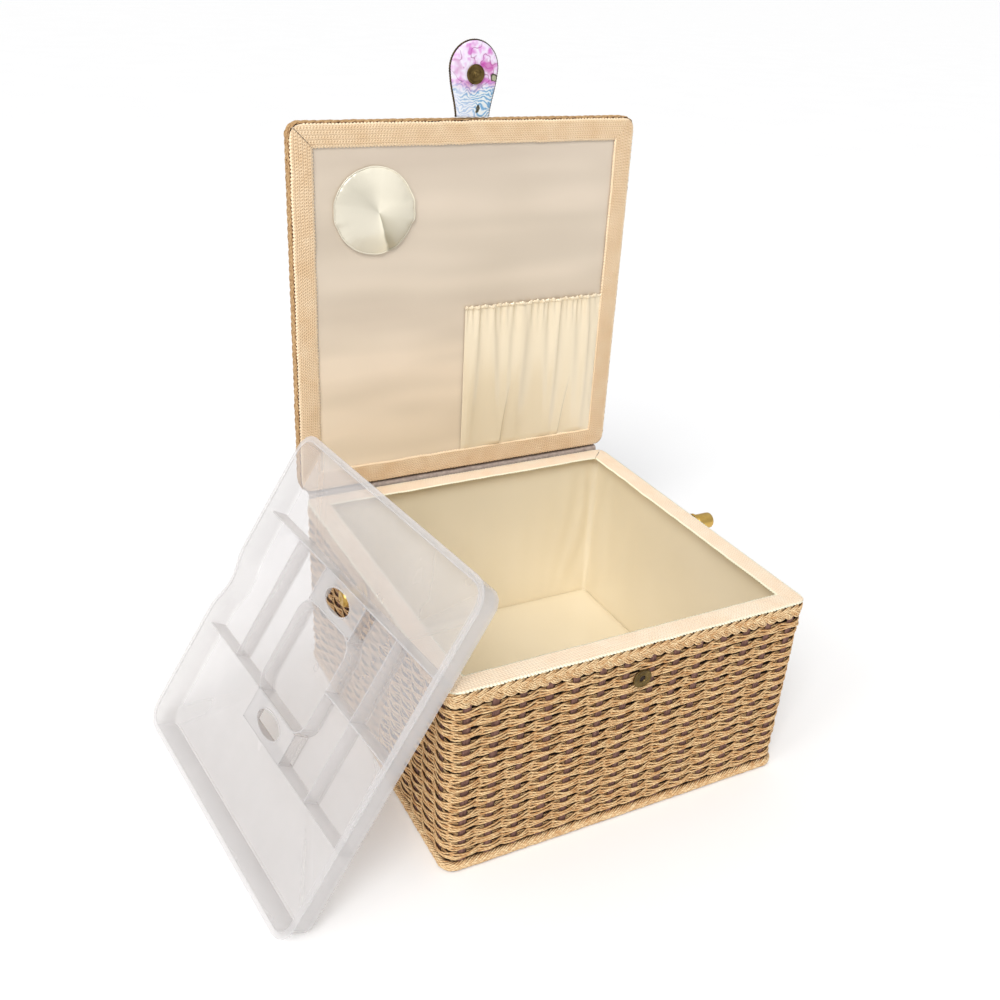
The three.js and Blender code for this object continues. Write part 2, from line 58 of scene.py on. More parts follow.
# ---- sizes, millimetres, as in the CAD model --------------------------------------------------
BOX_HALF = 150.0
BOX_TAPER = 2.0
TAPER_TOP = 144.0
RIM_Z = 158.0
FOOT_TOP = 9.3
BRAID_LOW = 143.7
SHELL_CORNER = 9.0
TAPE_WIDTH = 17.0
TAPE_THICK = 1.2
TAPE_CORNER = 9.0
LINING_HALF = 138.7
LINING_CORNER = 5.0
LID_Y = 150.0
LID_Z = 162.5
LID_LENGTH = 300.0
LID_MIDDLE = LID_LENGTH / 2
TAB_ROOT_S = 302.3
TAB_ROOT_HALF = 13.9
TAB_TIP_RADIUS = 20.1
TAB_TIP_S = 337.7
TRAY_SIZE = 272.0
TRAY_DEPTH = 20.0
TRAY_WALL = 1.5
TRAY_LEDGE = 3.2
TRAY_DRAFT = 2.0
TRAY_SLOPE = 57.0
TRAY_YAW = 6.4
TRAY_ORIGIN = (-154.3, 118.8, 235.1)
RIB_TOP = -6.0
RIB_LOW = 0.7 - TRAY_DEPTH
RIB_HALF = 0.7

# ---- the weave --------------------------------------------------------------------------------
ROWS = 15
ROW_GROUPS = 5
STAKES = 56
STAKE_INSET = 2.9
ROW_PITCH = (BRAID_LOW - FOOT_TOP) / ROWS
BRAID_SAMPLES = 960
SIDES = ("front", "right", "back", "left")


def rng(key):
    return np.random.default_rng(SEED + key)


def smooth_noise(draw, samples, knots):
    """A closed wandering line through random knots, about one unit high."""
    values = draw.normal(0, 1, knots)
    at = np.arange(samples) / samples * knots
    low = np.floor(at).astype(int)
    t = at - low
    t = t * t * (3 - 2 * t)
    return values[low % knots] * (1 - t) + values[(low + 1) % knots] * t


def field(*axes):
    """Smooth noise at the points whose coordinates are given as numbers or arrays."""
    spread = np.broadcast_arrays(*axes)
    spots = zip(*(axis.ravel() for axis in spread))
    return np.array([noise.noise(Vector(spot)) for spot in spots]).reshape(spread[0].shape)


# ---- mesh building ----------------------------------------------------------------------------
def grid_faces(rows, cols, wrap_rows=False, wrap_cols=False):
    """Quads over a rows x cols grid of points."""
    i = np.arange(rows if wrap_rows else rows - 1)[:, None]
    j = np.arange(cols if wrap_cols else cols - 1)[None, :]
    i2, j2 = (i + 1) % rows, (j + 1) % cols
    quads = np.stack([i * cols + j, i * cols + j2, i2 * cols + j2, i2 * cols + j], -1)
    return quads.reshape(-1, 4)


def tube_uv(turns, along, closed):
    """Corner coordinates for a tube's grid, with the seam value given where the grid wraps."""
    turns = np.append(turns, 1.0)
    lengths = along if closed else along[:-1]
    a, b = np.meshgrid(lengths[:-1], turns[:-1], indexing="ij")
    a2, b2 = np.meshgrid(lengths[1:], turns[1:], indexing="ij")
    corners = [np.stack(pair, -1) for pair in ((b, a), (b2, a), (b2, a2), (b, a2))]
    return np.stack(corners, 2).reshape(-1, 4, 2)


def piece(name, points, faces, uv=None, material=None):
    """A mesh object from points in millimetres."""
    mesh = bpy.data.meshes.new(name)
    points = np.asarray(points, np.float64).reshape(-1, 3) * MM
    faces = np.asarray(faces, np.int32)
    mesh.vertices.add(len(points))
    mesh.vertices.foreach_set("co", points.ravel())
    mesh.loops.add(faces.size)
    mesh.loops.foreach_set("vertex_index", faces.ravel())
    mesh.polygons.add(len(faces))
    mesh.polygons.foreach_set("loop_start", np.arange(0, faces.size, faces.shape[1], dtype=np.int32))
    if uv is not None:
        mesh.uv_layers.new(name="UVMap").data.foreach_set("uv", np.asarray(uv, np.float32).ravel())
    mesh.update(calc_edges=True)
    mesh.validate()
    smooth(mesh)
    if material:
        mesh.materials.append(material)
    thing = bpy.data.objects.new(name, mesh)
    bpy.context.scene.collection.objects.link(thing)
    return thing


def smooth(mesh):
    mesh.polygons.foreach_set("use_smooth", np.full(len(mesh.polygons), True))


def unit(a):
    return a / np.maximum(np.linalg.norm(a, axis=-1, keepdims=True), 1e-9)


def raised(flat, z=0.0):
    """Points or directions in the plane, given a height."""
    return np.column_stack([flat, np.broadcast_to(z, len(flat))])


class Bundle:
    """Many tubes gathered into one mesh."""

    def __init__(self, sides):
        self.sides, self.points, self.faces, self.uv, self.count = sides, [], [], [], 0

    def tube(self, path, outward, wide, deep, closed=True, tone=0.0):
        """A tube along path; wide is its half size across outward, deep along it."""
        count = len(path)
        outward = np.broadcast_to(outward, path.shape)
        if closed:
            tangent = np.roll(path, -1, 0) - np.roll(path, 1, 0)
        else:
            tangent = np.gradient(path, axis=0)
        tangent = unit(tangent)
        outward = unit(outward - (outward * tangent).sum(-1, keepdims=True) * tangent)
        across = np.cross(tangent, outward)
        angle = np.arange(self.sides) / self.sides * TURN
        wide = np.broadcast_to(wide, (count,))
        deep = np.broadcast_to(deep, (count,))
        ring = (across[:, None] * np.cos(angle)[None, :, None] * wide[:, None, None]
                + outward[:, None] * np.sin(angle)[None, :, None] * deep[:, None, None])
        points = (path[:, None] + ring).reshape(-1, 3)
        steps = np.linalg.norm(np.diff(path, axis=0, append=path[:1]), axis=1)
        along = np.concatenate([[0], np.cumsum(steps)]) / 10 + tone
        self.faces.append(grid_faces(count, self.sides, closed, True)[:, ::-1] + self.count)
        self.uv.append(tube_uv(angle / TURN, along, closed)[:, ::-1].reshape(-1, 2))
        self.points.append(points)
        first = self.count
        self.count += len(points)
        if not closed:
            self.cap(points[:self.sides], first, along[0], False)
            self.cap(points[-self.sides:], first + len(points) - self.sides, along[-2], True)

    def cap(self, ring, start, at, flip):
        """Closes one end of a tube with a fan of triangles."""
        self.points.append(ring.mean(0)[None])
        for k in range(self.sides):
            edge = [start + k, start + (k + 1) % self.sides]
            if flip:
                edge.reverse()
            self.faces.append(np.array([edge + [self.count, self.count]]))
            self.uv.append(np.full((4, 2), (0.5, at)))
        self.count += 1

    def make(self, name, material):
        parts = [np.concatenate(part) for part in (self.points, self.faces, self.uv)]
        thing = piece(name, *parts, material)
        edit(thing, drop_flat)
        return thing


def edit(thing, *steps):
    """Runs mesh editing steps on a piece."""
    work = bmesh.new()
    work.from_mesh(thing.data)
    for step in steps:
        step(work)
    work.to_mesh(thing.data)
    work.free()


def open_edges(work):
    return [edge for edge in work.edges if edge.is_boundary]


def drop_flat(work):
    """Turns collapsed quads into triangles."""
    bmesh.ops.dissolve_degenerate(work, dist=1e-7, edges=work.edges)


def weld(work, dist=1e-7):
    bmesh.ops.remove_doubles(work, verts=work.verts, dist=dist)


def fill_holes(work):
    bmesh.ops.holes_fill(work, edges=open_edges(work), sides=0)


def bridge(work):
    bmesh.ops.bridge_loops(work, edges=open_edges(work))


def face_out(work):
    bmesh.ops.recalc_face_normals(work, faces=work.faces)


def turn_over(work):
    bmesh.ops.reverse_faces(work, faces=work.faces)


def seal(thing, dist=1e-5):
    """Welds a piece's points, closes its open edges and turns its faces out."""
    edit(thing, lambda work: weld(work, dist), fill_holes, face_out)


def quarter_length(half, radius):
    """A quarter of the way round a rounded square."""
    return 2 * (half - radius) + math.pi * radius / 2


def around(distance, half, radius):
    """Places and outward directions round a rounded square, from the front left corner, anticlockwise."""
    half = np.broadcast_to(half, np.shape(distance)).astype(float)
    straight, bend = 2 * (half - radius), math.pi * radius / 2
    side = straight + bend
    quarter = np.floor(distance / side)
    t = distance - quarter * side
    first, last = t < bend / 2, t > bend / 2 + straight
    theta = np.where(first, 1.25 * np.pi + t / radius,
                     np.where(last, 1.5 * np.pi + (t - bend / 2 - straight) / radius, 1.5 * np.pi))
    normal = np.stack([np.cos(theta), np.sin(theta)], -1)
    run = np.clip(t - bend / 2, 0, straight)
    centre = np.stack([-(half - radius) + run, -(half - radius)], -1)
    place = centre + normal * radius
    turn = quarter * np.pi / 2
    c, s = np.cos(turn), np.sin(turn)
    spin = np.stack([np.stack([c, -s], -1), np.stack([s, c], -1)], -2)
    place = np.einsum("...ij,...j->...i", spin, place)
    normal = np.einsum("...ij,...j->...i", spin, normal)
    return place, normal


def even_loop(count, half, radius):
    """Evenly spaced places and outward directions round a rounded square."""
    return around(np.arange(count) / count * 4 * quarter_length(half, radius), half, radius)


def outer_half(z):
    return BOX_HALF - BOX_TAPER * (1 - np.clip(z / TAPER_TOP, 0, 1))


# ---- materials --------------------------------------------------------------------------------
class Shader:
    """A node material with short calls for its nodes."""

    def __init__(self, name, **sockets):
        self.material = bpy.data.materials.new(name)
        self.material.use_nodes = True
        self.tree = self.material.node_tree
        self.surface = self.tree.nodes["Principled BSDF"]
        self.output = self.tree.nodes["Material Output"]
        self.coords = self.tree.nodes.new("ShaderNodeTexCoord")
        self.base = None
        for key, value in sockets.items():
            self.surface.inputs[key.replace("_", " ")].default_value = value

    def node(self, kind, links=(), **values):
        made = self.tree.nodes.new("ShaderNode" + kind)
        for key, value in values.items():
            if hasattr(made, key):
                setattr(made, key, value)
            else:
                made.inputs[key.replace("_", " ")].default_value = value
        for socket, source in dict(links).items():
            self.join(source, made, socket)
        return made

    def join(self, source, target, socket):
        out = source if isinstance(source, bpy.types.NodeSocket) else source.outputs[0]
        self.tree.links.new(out, target.inputs[socket])

    def put(self, value, target, socket):
        """Sets an input to a number or a colour, or joins a node to it."""
        if isinstance(value, tuple):
            target.inputs[socket].default_value = (*value, 1)
        elif isinstance(value, (int, float)):
            target.inputs[socket].default_value = value
        else:
            self.join(value, target, socket)

    def place(self, scale=(1, 1, 1), space="Object"):
        return self.node("Mapping", {"Vector": self.coords.outputs[space]}, Scale=scale)

    def axes(self, source):
        """The three parts of a vector."""
        return self.node("SeparateXYZ", {"Vector": source}).outputs

    def noise(self, scale, detail=3.0, space="Object", stretch=(1, 1, 1)):
        made = self.node("TexNoise", {"Vector": self.place(stretch, space)}, Scale=scale, Detail=detail,
                         Roughness=0.55)
        return made.outputs["Fac"]

    def wave(self, at, **values):
        return self.node("TexWave", {"Vector": at}, **values).outputs["Fac"]

    def ramp(self, source, *stops):
        made = self.node("ValToRGB", {"Fac": source})
        for k, (at, colour) in enumerate(stops):
            spot = made.color_ramp.elements[k] if k < 2 else made.color_ramp.elements.new(at)
            spot.position, spot.color = at, (*colour, 1)
        return made

    def between(self, source, low, high):
        """One colour in the low parts of a noise and another in its high parts."""
        return self.ramp(source, (0.3, low), (0.7, high))

    def step(self, source, begin, end, low=0.0, high=1.0):
        """Grey that goes from low to high as the source goes from begin to end."""
        return self.ramp(source, (begin, grey(low)), (end, grey(high)))

    def mix(self, a, b, factor, blend="MIX"):
        made = self.tree.nodes.new("ShaderNodeMix")
        made.data_type, made.blend_type = "RGBA", blend
        for socket, value in ((6, a), (7, b), (0, factor)):
            self.put(value, made, socket)
        return made.outputs[2]

    def times(self, a, b, factor):
        return self.mix(a, b, factor, "MULTIPLY")

    def math(self, how, *values):
        made = self.node("Math", operation=how)
        for k, value in enumerate(values):
            self.put(value, made, k)
        return made.outputs[0]

    def remap(self, source, before=(0.0, 1.0), after=(0.0, 1.0)):
        """Takes the range before to the range after."""
        made = self.node("MapRange", {"Value": source})
        for socket, value in zip(("From Min", "From Max", "To Min", "To Max"), (*before, *after)):
            made.inputs[socket].default_value = value
        return made.outputs[0]

    def colour(self, source):
        self.base = source
        self.join(source, self.surface, "Base Color")

    def rough(self, source, low, high):
        self.join(self.remap(source, after=(low, high)), self.surface, "Roughness")

    def bump(self, source, strength, distance):
        made = self.node("Bump", {"Height": source}, Strength=strength, Distance=distance)
        self.join(made, self.surface, "Normal")


def srgb(r, g, b):
    """Linear colour of an 8-bit display colour."""
    return tuple(((c / 255 + 0.055) / 1.055) ** 2.4 if c > 10 else c / 255 / 12.92 for c in (r, g, b))


def grey(value):
    return (value, value, value)


WHITE = grey(1)


def cord_material(name, dark, mid, light):
    """Twisted paper cord with painted shade: darker on the sides that face inwards, between the cords, and in
    the grooves of its twist.
    Its coordinates run round it, in turns with a quarter at its outer side, and along it in centimetres."""
    s = Shader(name, Roughness=0.62, Specular_IOR_Level=0.35)
    twist = s.wave(s.place((1.26, 2.0, 1.0), "UV"), bands_direction="DIAGONAL", Scale=1.0,
                   Distortion=1.0, Detail=2.0)
    fibre = s.noise(5.0, 3.0, "UV", (1.2, 9.0, 1.0))
    tone = s.noise(1.3, 3.0, "UV", (0.5, 1.0, 1.0))
    base = s.ramp(tone, (0.34, mid), (0.62, light))
    base = s.mix(base, dark, s.step(fibre, 0.56, 0.8, 0.0, 0.7))
    # Painted shade in the grooves of the twist.
    base = s.times(base, s.ramp(twist, (0.05, (0.66, 0.56, 0.47)), (0.5, WHITE)), 0.7)
    # Painted shade: each cord is darker on the side that faces inwards, between the cords.
    turns = s.axes(s.coords.outputs["UV"])["X"]
    facing = s.math("SINE", s.math("MULTIPLY", turns, TURN))
    shade = s.ramp(facing, (0.0, (0.1, 0.065, 0.045)), (0.42, (0.62, 0.52, 0.44)), (0.85, WHITE))
    s.colour(s.times(base, shade, 0.95))
    s.rough(fibre, 0.5, 0.8)
    s.bump(s.math("ADD", twist, s.math("MULTIPLY", fibre, 0.4)), 0.4, 0.0005)
    return s.material


def stake_material():
    s = Shader("stake_reed", Roughness=0.8)
    grain = s.noise(60.0, 5.0, "Object", (14, 14, 0.6))
    s.colour(s.between(grain, srgb(92, 60, 50), srgb(142, 104, 92)))
    s.rough(grain, 0.65, 0.9)
    s.bump(grain, 0.5, 0.0005)
    return s.material


def shade_material(name, low, high, scale=120.0):
    """Plain rough stuff with fine specks."""
    s = Shader(name, Roughness=0.9)
    speck = s.noise(scale, 4.0)
    s.colour(s.between(speck, low, high))
    s.rough(speck, 0.8, 0.95)
    s.bump(speck, 0.4, 0.0006)
    return s.material


def satin(name, low, high, rough, shine):
    """Acetate satin: soft gloss across very fine threads."""
    s = Shader(name, Roughness=rough, Specular_IOR_Level=0.6, Metallic=shine, Anisotropic=0.5,
               Sheen_Weight=0.1, Sheen_Roughness=0.4)
    threads = s.noise(500.0, 2.0, "Object", (1, 1, 9))
    cross = s.noise(500.0, 2.0, "Object", (9, 9, 1))
    cloud = s.between(s.noise(7.0, 2.0), low, high)
    s.colour(s.times(cloud, s.between(threads, (0.985, 0.98, 0.975), WHITE), 0.4))
    s.rough(s.math("MULTIPLY", threads, cross), rough * 0.9, rough * 1.15)
    s.bump(s.math("ADD", threads, cross), 0.03, 0.0002)
    return s


def cushion_material():
    """Cushion satin with painted sheen round the middle: bright wedge shapes of painted highlight and a dark
    streak of painted shade, where the cloth turns over the crown.
    """
    s = satin("cushion_satin", srgb(224, 217, 198), srgb(234, 228, 211), 0.24, 0.15)
    lo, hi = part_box("pincushion")
    spot = s.axes(s.coords.outputs["Object"])
    drift = s.noise(40.0, 2.0)
    east = s.math("SUBTRACT", spot["X"], (lo.x + hi.x) / 2)
    north = s.math("SUBTRACT", spot["Z"], (lo.z + hi.z) / 2)
    flat = s.node("CombineXYZ", {"X": east, "Y": north})
    turn = s.node("TexGradient", {"Vector": flat}, gradient_type="RADIAL")
    angle = s.math("ADD", turn.outputs["Fac"], s.math("MULTIPLY_ADD", drift, 0.06, -0.03))
    # Painted sheen: factors above one are painted highlights, and the dark streak near 0.3 is painted shade.
    painted_sheen = (
        (0.0, grey(0.86)), (0.17, grey(0.95)), (0.25, (1.05, 1.05, 1.04)), (0.292, (1.24, 1.24, 1.22)),
        (0.303, (0.5, 0.48, 0.42)), (0.35, (0.7, 0.68, 0.62)), (0.46, (0.96, 0.96, 0.94)),
        (0.6, (1.14, 1.14, 1.13)), (0.72, (1.12, 1.12, 1.11)), (0.8, (0.92, 0.92, 0.91)),
        (0.88, (0.78, 0.78, 0.77)), (0.97, grey(0.85)),
    )
    s.colour(s.times(s.base, s.ramp(angle, *painted_sheen), 0.9))
    return s.material


def panel_material():
    """Stretched lid satin, greyer than the box lining as a painted reflection of grey surroundings, with
    painted sheen in soft level bands and painted light: darker across its middle, brightest towards its
    bottom.
    """
    # Base colours are greyer than the box lining's: a painted reflection of the grey surroundings.
    s = satin("lid_satin", srgb(214, 201, 181), srgb(222, 209, 190), 0.3, 0.06)
    bands = s.noise(9.0, 2.0, "Object", (0.35, 1, 2.2))
    level = s.remap(s.axes(s.coords.outputs["Object"])["Z"], (0.17, 0.46))
    # Painted light by height: brighter at the bottom, darker across the middle.
    painted_light_fade = s.ramp(level, (0.0, (1.22, 1.17, 1.09)), (0.3, (1.12, 1.07, 1.02)), (0.62, (0.93, 0.91, 0.9)),
                  (1.0, (1.0, 0.98, 0.99)))
    # Painted sheen: soft level bands of highlight and shade.
    gloss = s.ramp(bands, (0.36, (0.86, 0.85, 0.845)), (0.5, grey(0.97)), (0.62, (1.08, 1.08, 1.09)))
    s.colour(s.times(s.times(s.base, painted_light_fade, 1.0), gloss, 0.9))
    return s.material


def tape_material(name, low, high, shade):
    """Herringbone cotton tape with painted shade in the hollows of its weave; its coordinates run along and
    across it in centimetres.
    """
    s = Shader(name, Roughness=0.85, Sheen_Weight=0.2)
    at = s.axes(s.coords.outputs["UV"])
    fold = s.math("PINGPONG", at["Y"], 0.17)
    run = s.math("ADD", s.math("MULTIPLY", at["X"], 25.0), s.math("MULTIPLY", fold, 40.0))
    thread = s.math("SINE", s.math("MULTIPLY", at["Y"], 37.0))
    weave = s.math("ADD", s.math("SINE", run), s.math("MULTIPLY", thread, 0.6))
    weave = s.math("MULTIPLY_ADD", weave, 0.31, 0.5)
    tone = s.noise(60.0, 3.0)
    # The weave's low parts take the shade colour: painted shade in the hollows between threads.
    base = s.times(s.between(tone, low, high), s.ramp(weave, (0.05, shade), (0.5, WHITE)), 0.8)
    edge = s.math("ABSOLUTE", s.math("SUBTRACT", at["Y"], TAPE_WIDTH / 20))
    s.colour(s.mix(base, tuple(min(1.0, 1.12 * c) for c in high), s.step(edge, 0.7, 0.78)))
    s.rough(tone, 0.75, 0.92)
    s.bump(weave, 0.8, 0.0006)
    return s.material


def metal_material(name, low, high, rough, brushed):
    s = Shader(name, Metallic=1.0, Roughness=rough)
    wear = s.noise(170.0, 4.0)
    lines = s.noise(60.0, 3.0, "Object", brushed)
    s.colour(s.between(wear, low, high))
    s.rough(s.math("ADD", lines, s.math("MULTIPLY", wear, 0.4)), rough * 0.7, rough * 1.5)
    s.bump(lines, 0.15, 0.0002)
    return s.material


def plastic_material(name, colour, tint, least, most, painted_glow):
    """Clear polypropylene: see-through with a milky haze, denser at a glancing angle, with a painted glow in
    its own colour that lifts it out of shade.
    """
    s = Shader(name, Roughness=0.22, Specular_IOR_Level=0.5, Emission_Strength=painted_glow)
    s.put(colour, s.surface, "Emission Color")
    haze = s.noise(22.0, 3.0)
    s.colour(s.between(haze, tuple(0.94 * c for c in colour), colour))
    s.rough(haze, 0.16, 0.32)
    s.bump(haze, 0.04, 0.0006)
    see = s.node("BsdfTransparent")
    s.put(tint, see, "Color")
    facing = s.node("LayerWeight", Blend=0.3).outputs["Facing"]
    share = s.remap(facing, after=(least, most))
    blend = s.node("MixShader", {0: share, 1: see, 2: s.surface})
    s.join(blend, s.output, "Surface")
    return s.material


def floral_material(name, on_tab):
    """Watercolour cotton print: pale ground, loose roses in lilac and pink, blue swirls, olive leaves."""
    s = Shader(name, Roughness=0.7, Sheen_Weight=0.1)
    drift = s.node("TexNoise", {"Vector": s.place()}, Scale=70.0, Detail=3.0)
    wobble = s.node("VectorMath", {0: drift.outputs["Color"]}, operation="SCALE", Scale=0.013)
    moved = s.node("VectorMath", {0: s.place(), 1: wobble}, operation="ADD")
    petals = s.ramp(s.noise(105.0, 2.0), (0.36, srgb(210, 126, 200)), (0.46, srgb(232, 208, 236)),
                    (0.55, srgb(236, 230, 244)), (0.68, srgb(226, 166, 222)))
    veins = s.math("ABSOLUTE", s.math("SUBTRACT", s.noise(88.0, 1.5), 0.5))
    rose = s.mix(petals, srgb(150, 40, 124), s.step(veins, 0.0, 0.022, 0.9, 0.0))
    rose = s.mix(rose, srgb(190, 60, 160), s.step(s.noise(62.0, 2.5), 0.56, 0.66, 0.0, 0.75))
    swirl = s.wave(moved, wave_type="RINGS", Scale=120.0, Distortion=14.0, Detail=1.5)
    blue = s.ramp(swirl, (0.12, srgb(108, 158, 198)), (0.4, srgb(170, 200, 222)),
                  (0.75, srgb(222, 226, 226)))
    if on_tab:
        blueness = s.remap(s.axes(moved)["Z"], (0.497, 0.489))
    else:
        blueness = s.step(s.noise(13.0, 3.0), 0.47, 0.53)
    base = s.mix(rose, blue, blueness)
    base = s.mix(base, srgb(228, 226, 238), s.step(s.noise(34.0, 2.0), 0.5, 0.66, 0.0, 0.8))
    leaves = s.node("TexVoronoi", {"Vector": moved}, Scale=92.0).outputs
    chosen = s.node("SeparateColor", {"Color": leaves["Color"]}).outputs["Green"]
    inside = s.math("MULTIPLY", s.step(leaves["Distance"], 0.36, 0.4, 1.0, 0.0),
                    s.step(chosen, 0.13, 0.16, 1.0, 0.0))
    tone = s.ramp(leaves["Distance"], (0.24, srgb(168, 170, 140)), (0.31, srgb(60, 58, 40)))
    s.colour(s.mix(base, tone, inside))
    s.rough(drift.outputs["Fac"], 0.6, 0.8)
    threads = [s.wave(s.place(), Scale=420.0, Distortion=1.0, bands_direction=way) for way in "XZ"]
    s.bump(s.math("ADD", *threads), 0.15, 0.0003)
    return s.material


CORD = cord_material("paper_cord", srgb(130, 80, 46), srgb(204, 155, 100), srgb(241, 209, 158))
BRAID = cord_material("braid_cord", srgb(150, 92, 54), srgb(214, 168, 114), srgb(250, 224, 178))
LID_BRAID = cord_material("lid_braid_cord", srgb(112, 74, 46), srgb(176, 134, 88), srgb(214, 180, 130))
STITCH = cord_material("binding_thread", srgb(20, 16, 14), srgb(44, 36, 30), srgb(104, 84, 48))
STAKE = stake_material()
# Near-black board: painted shade, used behind the weave, inside the clasp socket and on the hidden boards.
SHADE_BOARD = shade_material("fibre_board_painted_shade", srgb(40, 26, 20), srgb(60, 42, 32))
HINGE = shade_material("hinge_cloth", srgb(150, 134, 124), srgb(186, 170, 158), 400.0)
SATIN = satin("champagne_satin", srgb(231, 219, 192), srgb(238, 227, 203), 0.3, 0.12).material
PEARL = satin("pearl_satin", srgb(232, 216, 186), srgb(240, 226, 199), 0.24, 0.12).material
LID_SATIN = panel_material()
CUSHION = cushion_material()
TAPE = tape_material("herringbone_tape", srgb(253, 227, 196), srgb(255, 238, 212), (0.84, 0.76, 0.66))
LID_TAPE = tape_material("lid_tape", srgb(232, 199, 158), srgb(243, 217, 182), (0.58, 0.46, 0.32))
BRASS = metal_material("antique_brass", srgb(74, 58, 34), srgb(128, 108, 66), 0.36, (1, 1, 1))
GOLD = metal_material("brushed_gold", srgb(208, 168, 84), srgb(232, 198, 118), 0.32, (18, 1, 1))
# Each plastic's last number is the strength of a painted glow; the rib plastic glows on the tray's walls and
# ribs, and the white edge plastic paints the edges' highlights.
PLASTIC = plastic_material("clear_polypropylene", (0.86, 0.85, 0.85), (0.915, 0.905, 0.9), 0.22, 0.5, 0.03)
PLASTIC_RIB = plastic_material("polypropylene_rib", (0.88, 0.92, 1.0), (0.97, 0.98, 1.0), 0.34, 0.5, 0.95)
PLASTIC_HIGHLIGHT = plastic_material("polypropylene_edge_highlight", grey(1.0), grey(1.0), 0.85, 0.95, 0.6)
FLORAL = floral_material("floral_print", False)
FLORAL_TAB = floral_material("floral_print_tab", True)


# ---- basket -----------------------------------------------------------------------------------
def add_weave():
    """Fifteen rows of twined cords. In each, two strands of three fine cords pass in turn before and
    behind the stakes."""
    draw = rng(1)
    deep, high = 1.85, 0.5
    samples = STAKES * 8
    share = np.arange(samples) / samples
    for group in range(ROW_GROUPS):
        bundle = Bundle(6)
        rows = ROWS // ROW_GROUPS
        for row in range(group * rows, group * rows + rows):
            z0 = FOOT_TOP + (row + 0.5) * ROW_PITCH
            place, normal = even_loop(samples, outer_half(z0) - STAKE_INSET, SHELL_CORNER)
            shift = draw.normal(0, 0.1) + smooth_noise(draw, samples, 60) * 0.1
            for strand in range(2):
                turn = share * STAKES * math.pi + math.pi / 2 + strand * math.pi + shift
                wander = smooth_noise(draw, samples, 50) * 0.22
                spread = 1.22 + 1.36 * np.abs(np.sin(turn)) ** 2.6
                for cord in (-1, 0, 1):
                    depth = deep * np.cos(turn) + smooth_noise(draw, samples, 110) * 0.3
                    depth += 0.2 * (1 - abs(cord))
                    rise = high * np.sin(turn) + wander + cord * spread
                    rise += smooth_noise(draw, samples, 150) * 0.24
                    path = raised(place + normal * depth[:, None], z0 + rise)
                    thick = 0.88 + smooth_noise(draw, samples, 80) * 0.05
                    bundle.tube(path, raised(normal), thick, thick * 0.95, True, draw.uniform(0, 90))
        thing = bundle.make(f"weave_rows_{group + 1}", CORD)
        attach(thing, "box")
        if group == 0:
            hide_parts("weave_shell")


def add_stakes():
    draw = rng(2)
    bundle = Bundle(8)
    count = 14
    levels = np.linspace(5.0, 146.0, count)
    half = outer_half(levels) - STAKE_INSET
    girth = 4 * quarter_length(half, SHELL_CORNER)
    for k in range(STAKES):
        lean = draw.normal(0, 0.35)
        at = (k + 0.5) / STAKES * girth + lean + smooth_noise(draw, count, 5) * 0.3
        place, normal = around(at, half, SHELL_CORNER)
        wide = 3.1 + draw.normal(0, 0.25)
        bundle.tube(raised(place, levels), raised(normal), wide, 0.78, False, draw.uniform(0, 9))
    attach(bundle.make("weave_stakes", STAKE), "box")


def add_shade_backing():
    """Dark sheet behind the weave: painted shade that shows through the gaps between cords and stakes."""
    count = 96
    rings = []
    for z, half in ((2.0, 142.9), (50.0, 143.15), (100.0, 143.15), (156.0, 143.15)):
        rings.append(raised(even_loop(count, half, 6.0)[0], z))
    faces = grid_faces(len(rings), count, False, True)
    thing = piece("weave_backing_painted_shade", np.concatenate(rings), faces, None, SHADE_BOARD)
    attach(thing, "box")


def plait(draw, half, lay, periods, half_width, depth, spread, radius):
    """Three strands of four cords plaited flat round a rounded square. lay turns a place and an outward
    direction in the plane into a centre, an outward and an upward direction in space."""
    cords = 4
    length = 4 * quarter_length(half, SHELL_CORNER)
    samples = BRAID_SAMPLES
    distance = np.arange(samples) / samples * length
    bundle = Bundle(6)
    for strand in range(3):
        turn = distance / length * periods * TURN + strand * TURN / 3
        rise, out = half_width * np.sin(turn), depth * np.sin(2 * turn)
        slope = half_width * np.cos(turn) * TURN * periods / length
        tilt = np.sqrt(1 + slope ** 2)
        for k in range(cords):
            lane = k - (cords - 1) / 2
            up = rise + lane * spread / tilt + smooth_noise(draw, samples, 120) * 0.14
            bulge = out + 0.3 * math.cos(math.pi * lane / cords) + smooth_noise(draw, samples, 130) * 0.13
            shifted = distance - lane * spread * slope / tilt
            spot, away, over = lay(*around(np.mod(shifted, length), half, SHELL_CORNER))
            path = spot + away * bulge[:, None] + over * up[:, None]
            bundle.tube(path, away, radius, radius * 0.92, True, draw.uniform(0, 9))
    return bundle


def add_rim_braid():
    def lay(place, normal):
        return raised(place, 150.2), raised(normal), np.array([0.0, 0.0, 1.0])

    bundle = plait(rng(3), 147.3, lay, 46, 3.25, 0.95, 1.5, 0.84)
    thing = bundle.make("rim_plait", BRAID)
    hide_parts("rim_braid")
    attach(thing, "box")


def add_foot_braid():
    """Low rope border: fine cords twisted round each other, with a narrow dark gap above."""
    draw = rng(4)
    cords, turns = 10, 40
    bundle = Bundle(6)
    samples = BRAID_SAMPLES
    place, normal = even_loop(samples, 145.7, SHELL_CORNER)
    for k in range(cords):
        turn = np.arange(samples) / samples * turns * TURN + k * TURN / cords
        depth = 2.1 * np.cos(turn) + smooth_noise(draw, samples, 90) * 0.15
        rise = 3.0 * np.sin(turn) + smooth_noise(draw, samples, 90) * 0.12
        path = raised(place + normal * depth[:, None], 4.3 + rise)
        bundle.tube(path, raised(normal), 1.05, 1.0, True, draw.uniform(0, 9))
    thing = bundle.make("foot_rope", BRAID)
    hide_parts("foot_braid")
    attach(thing, "box")


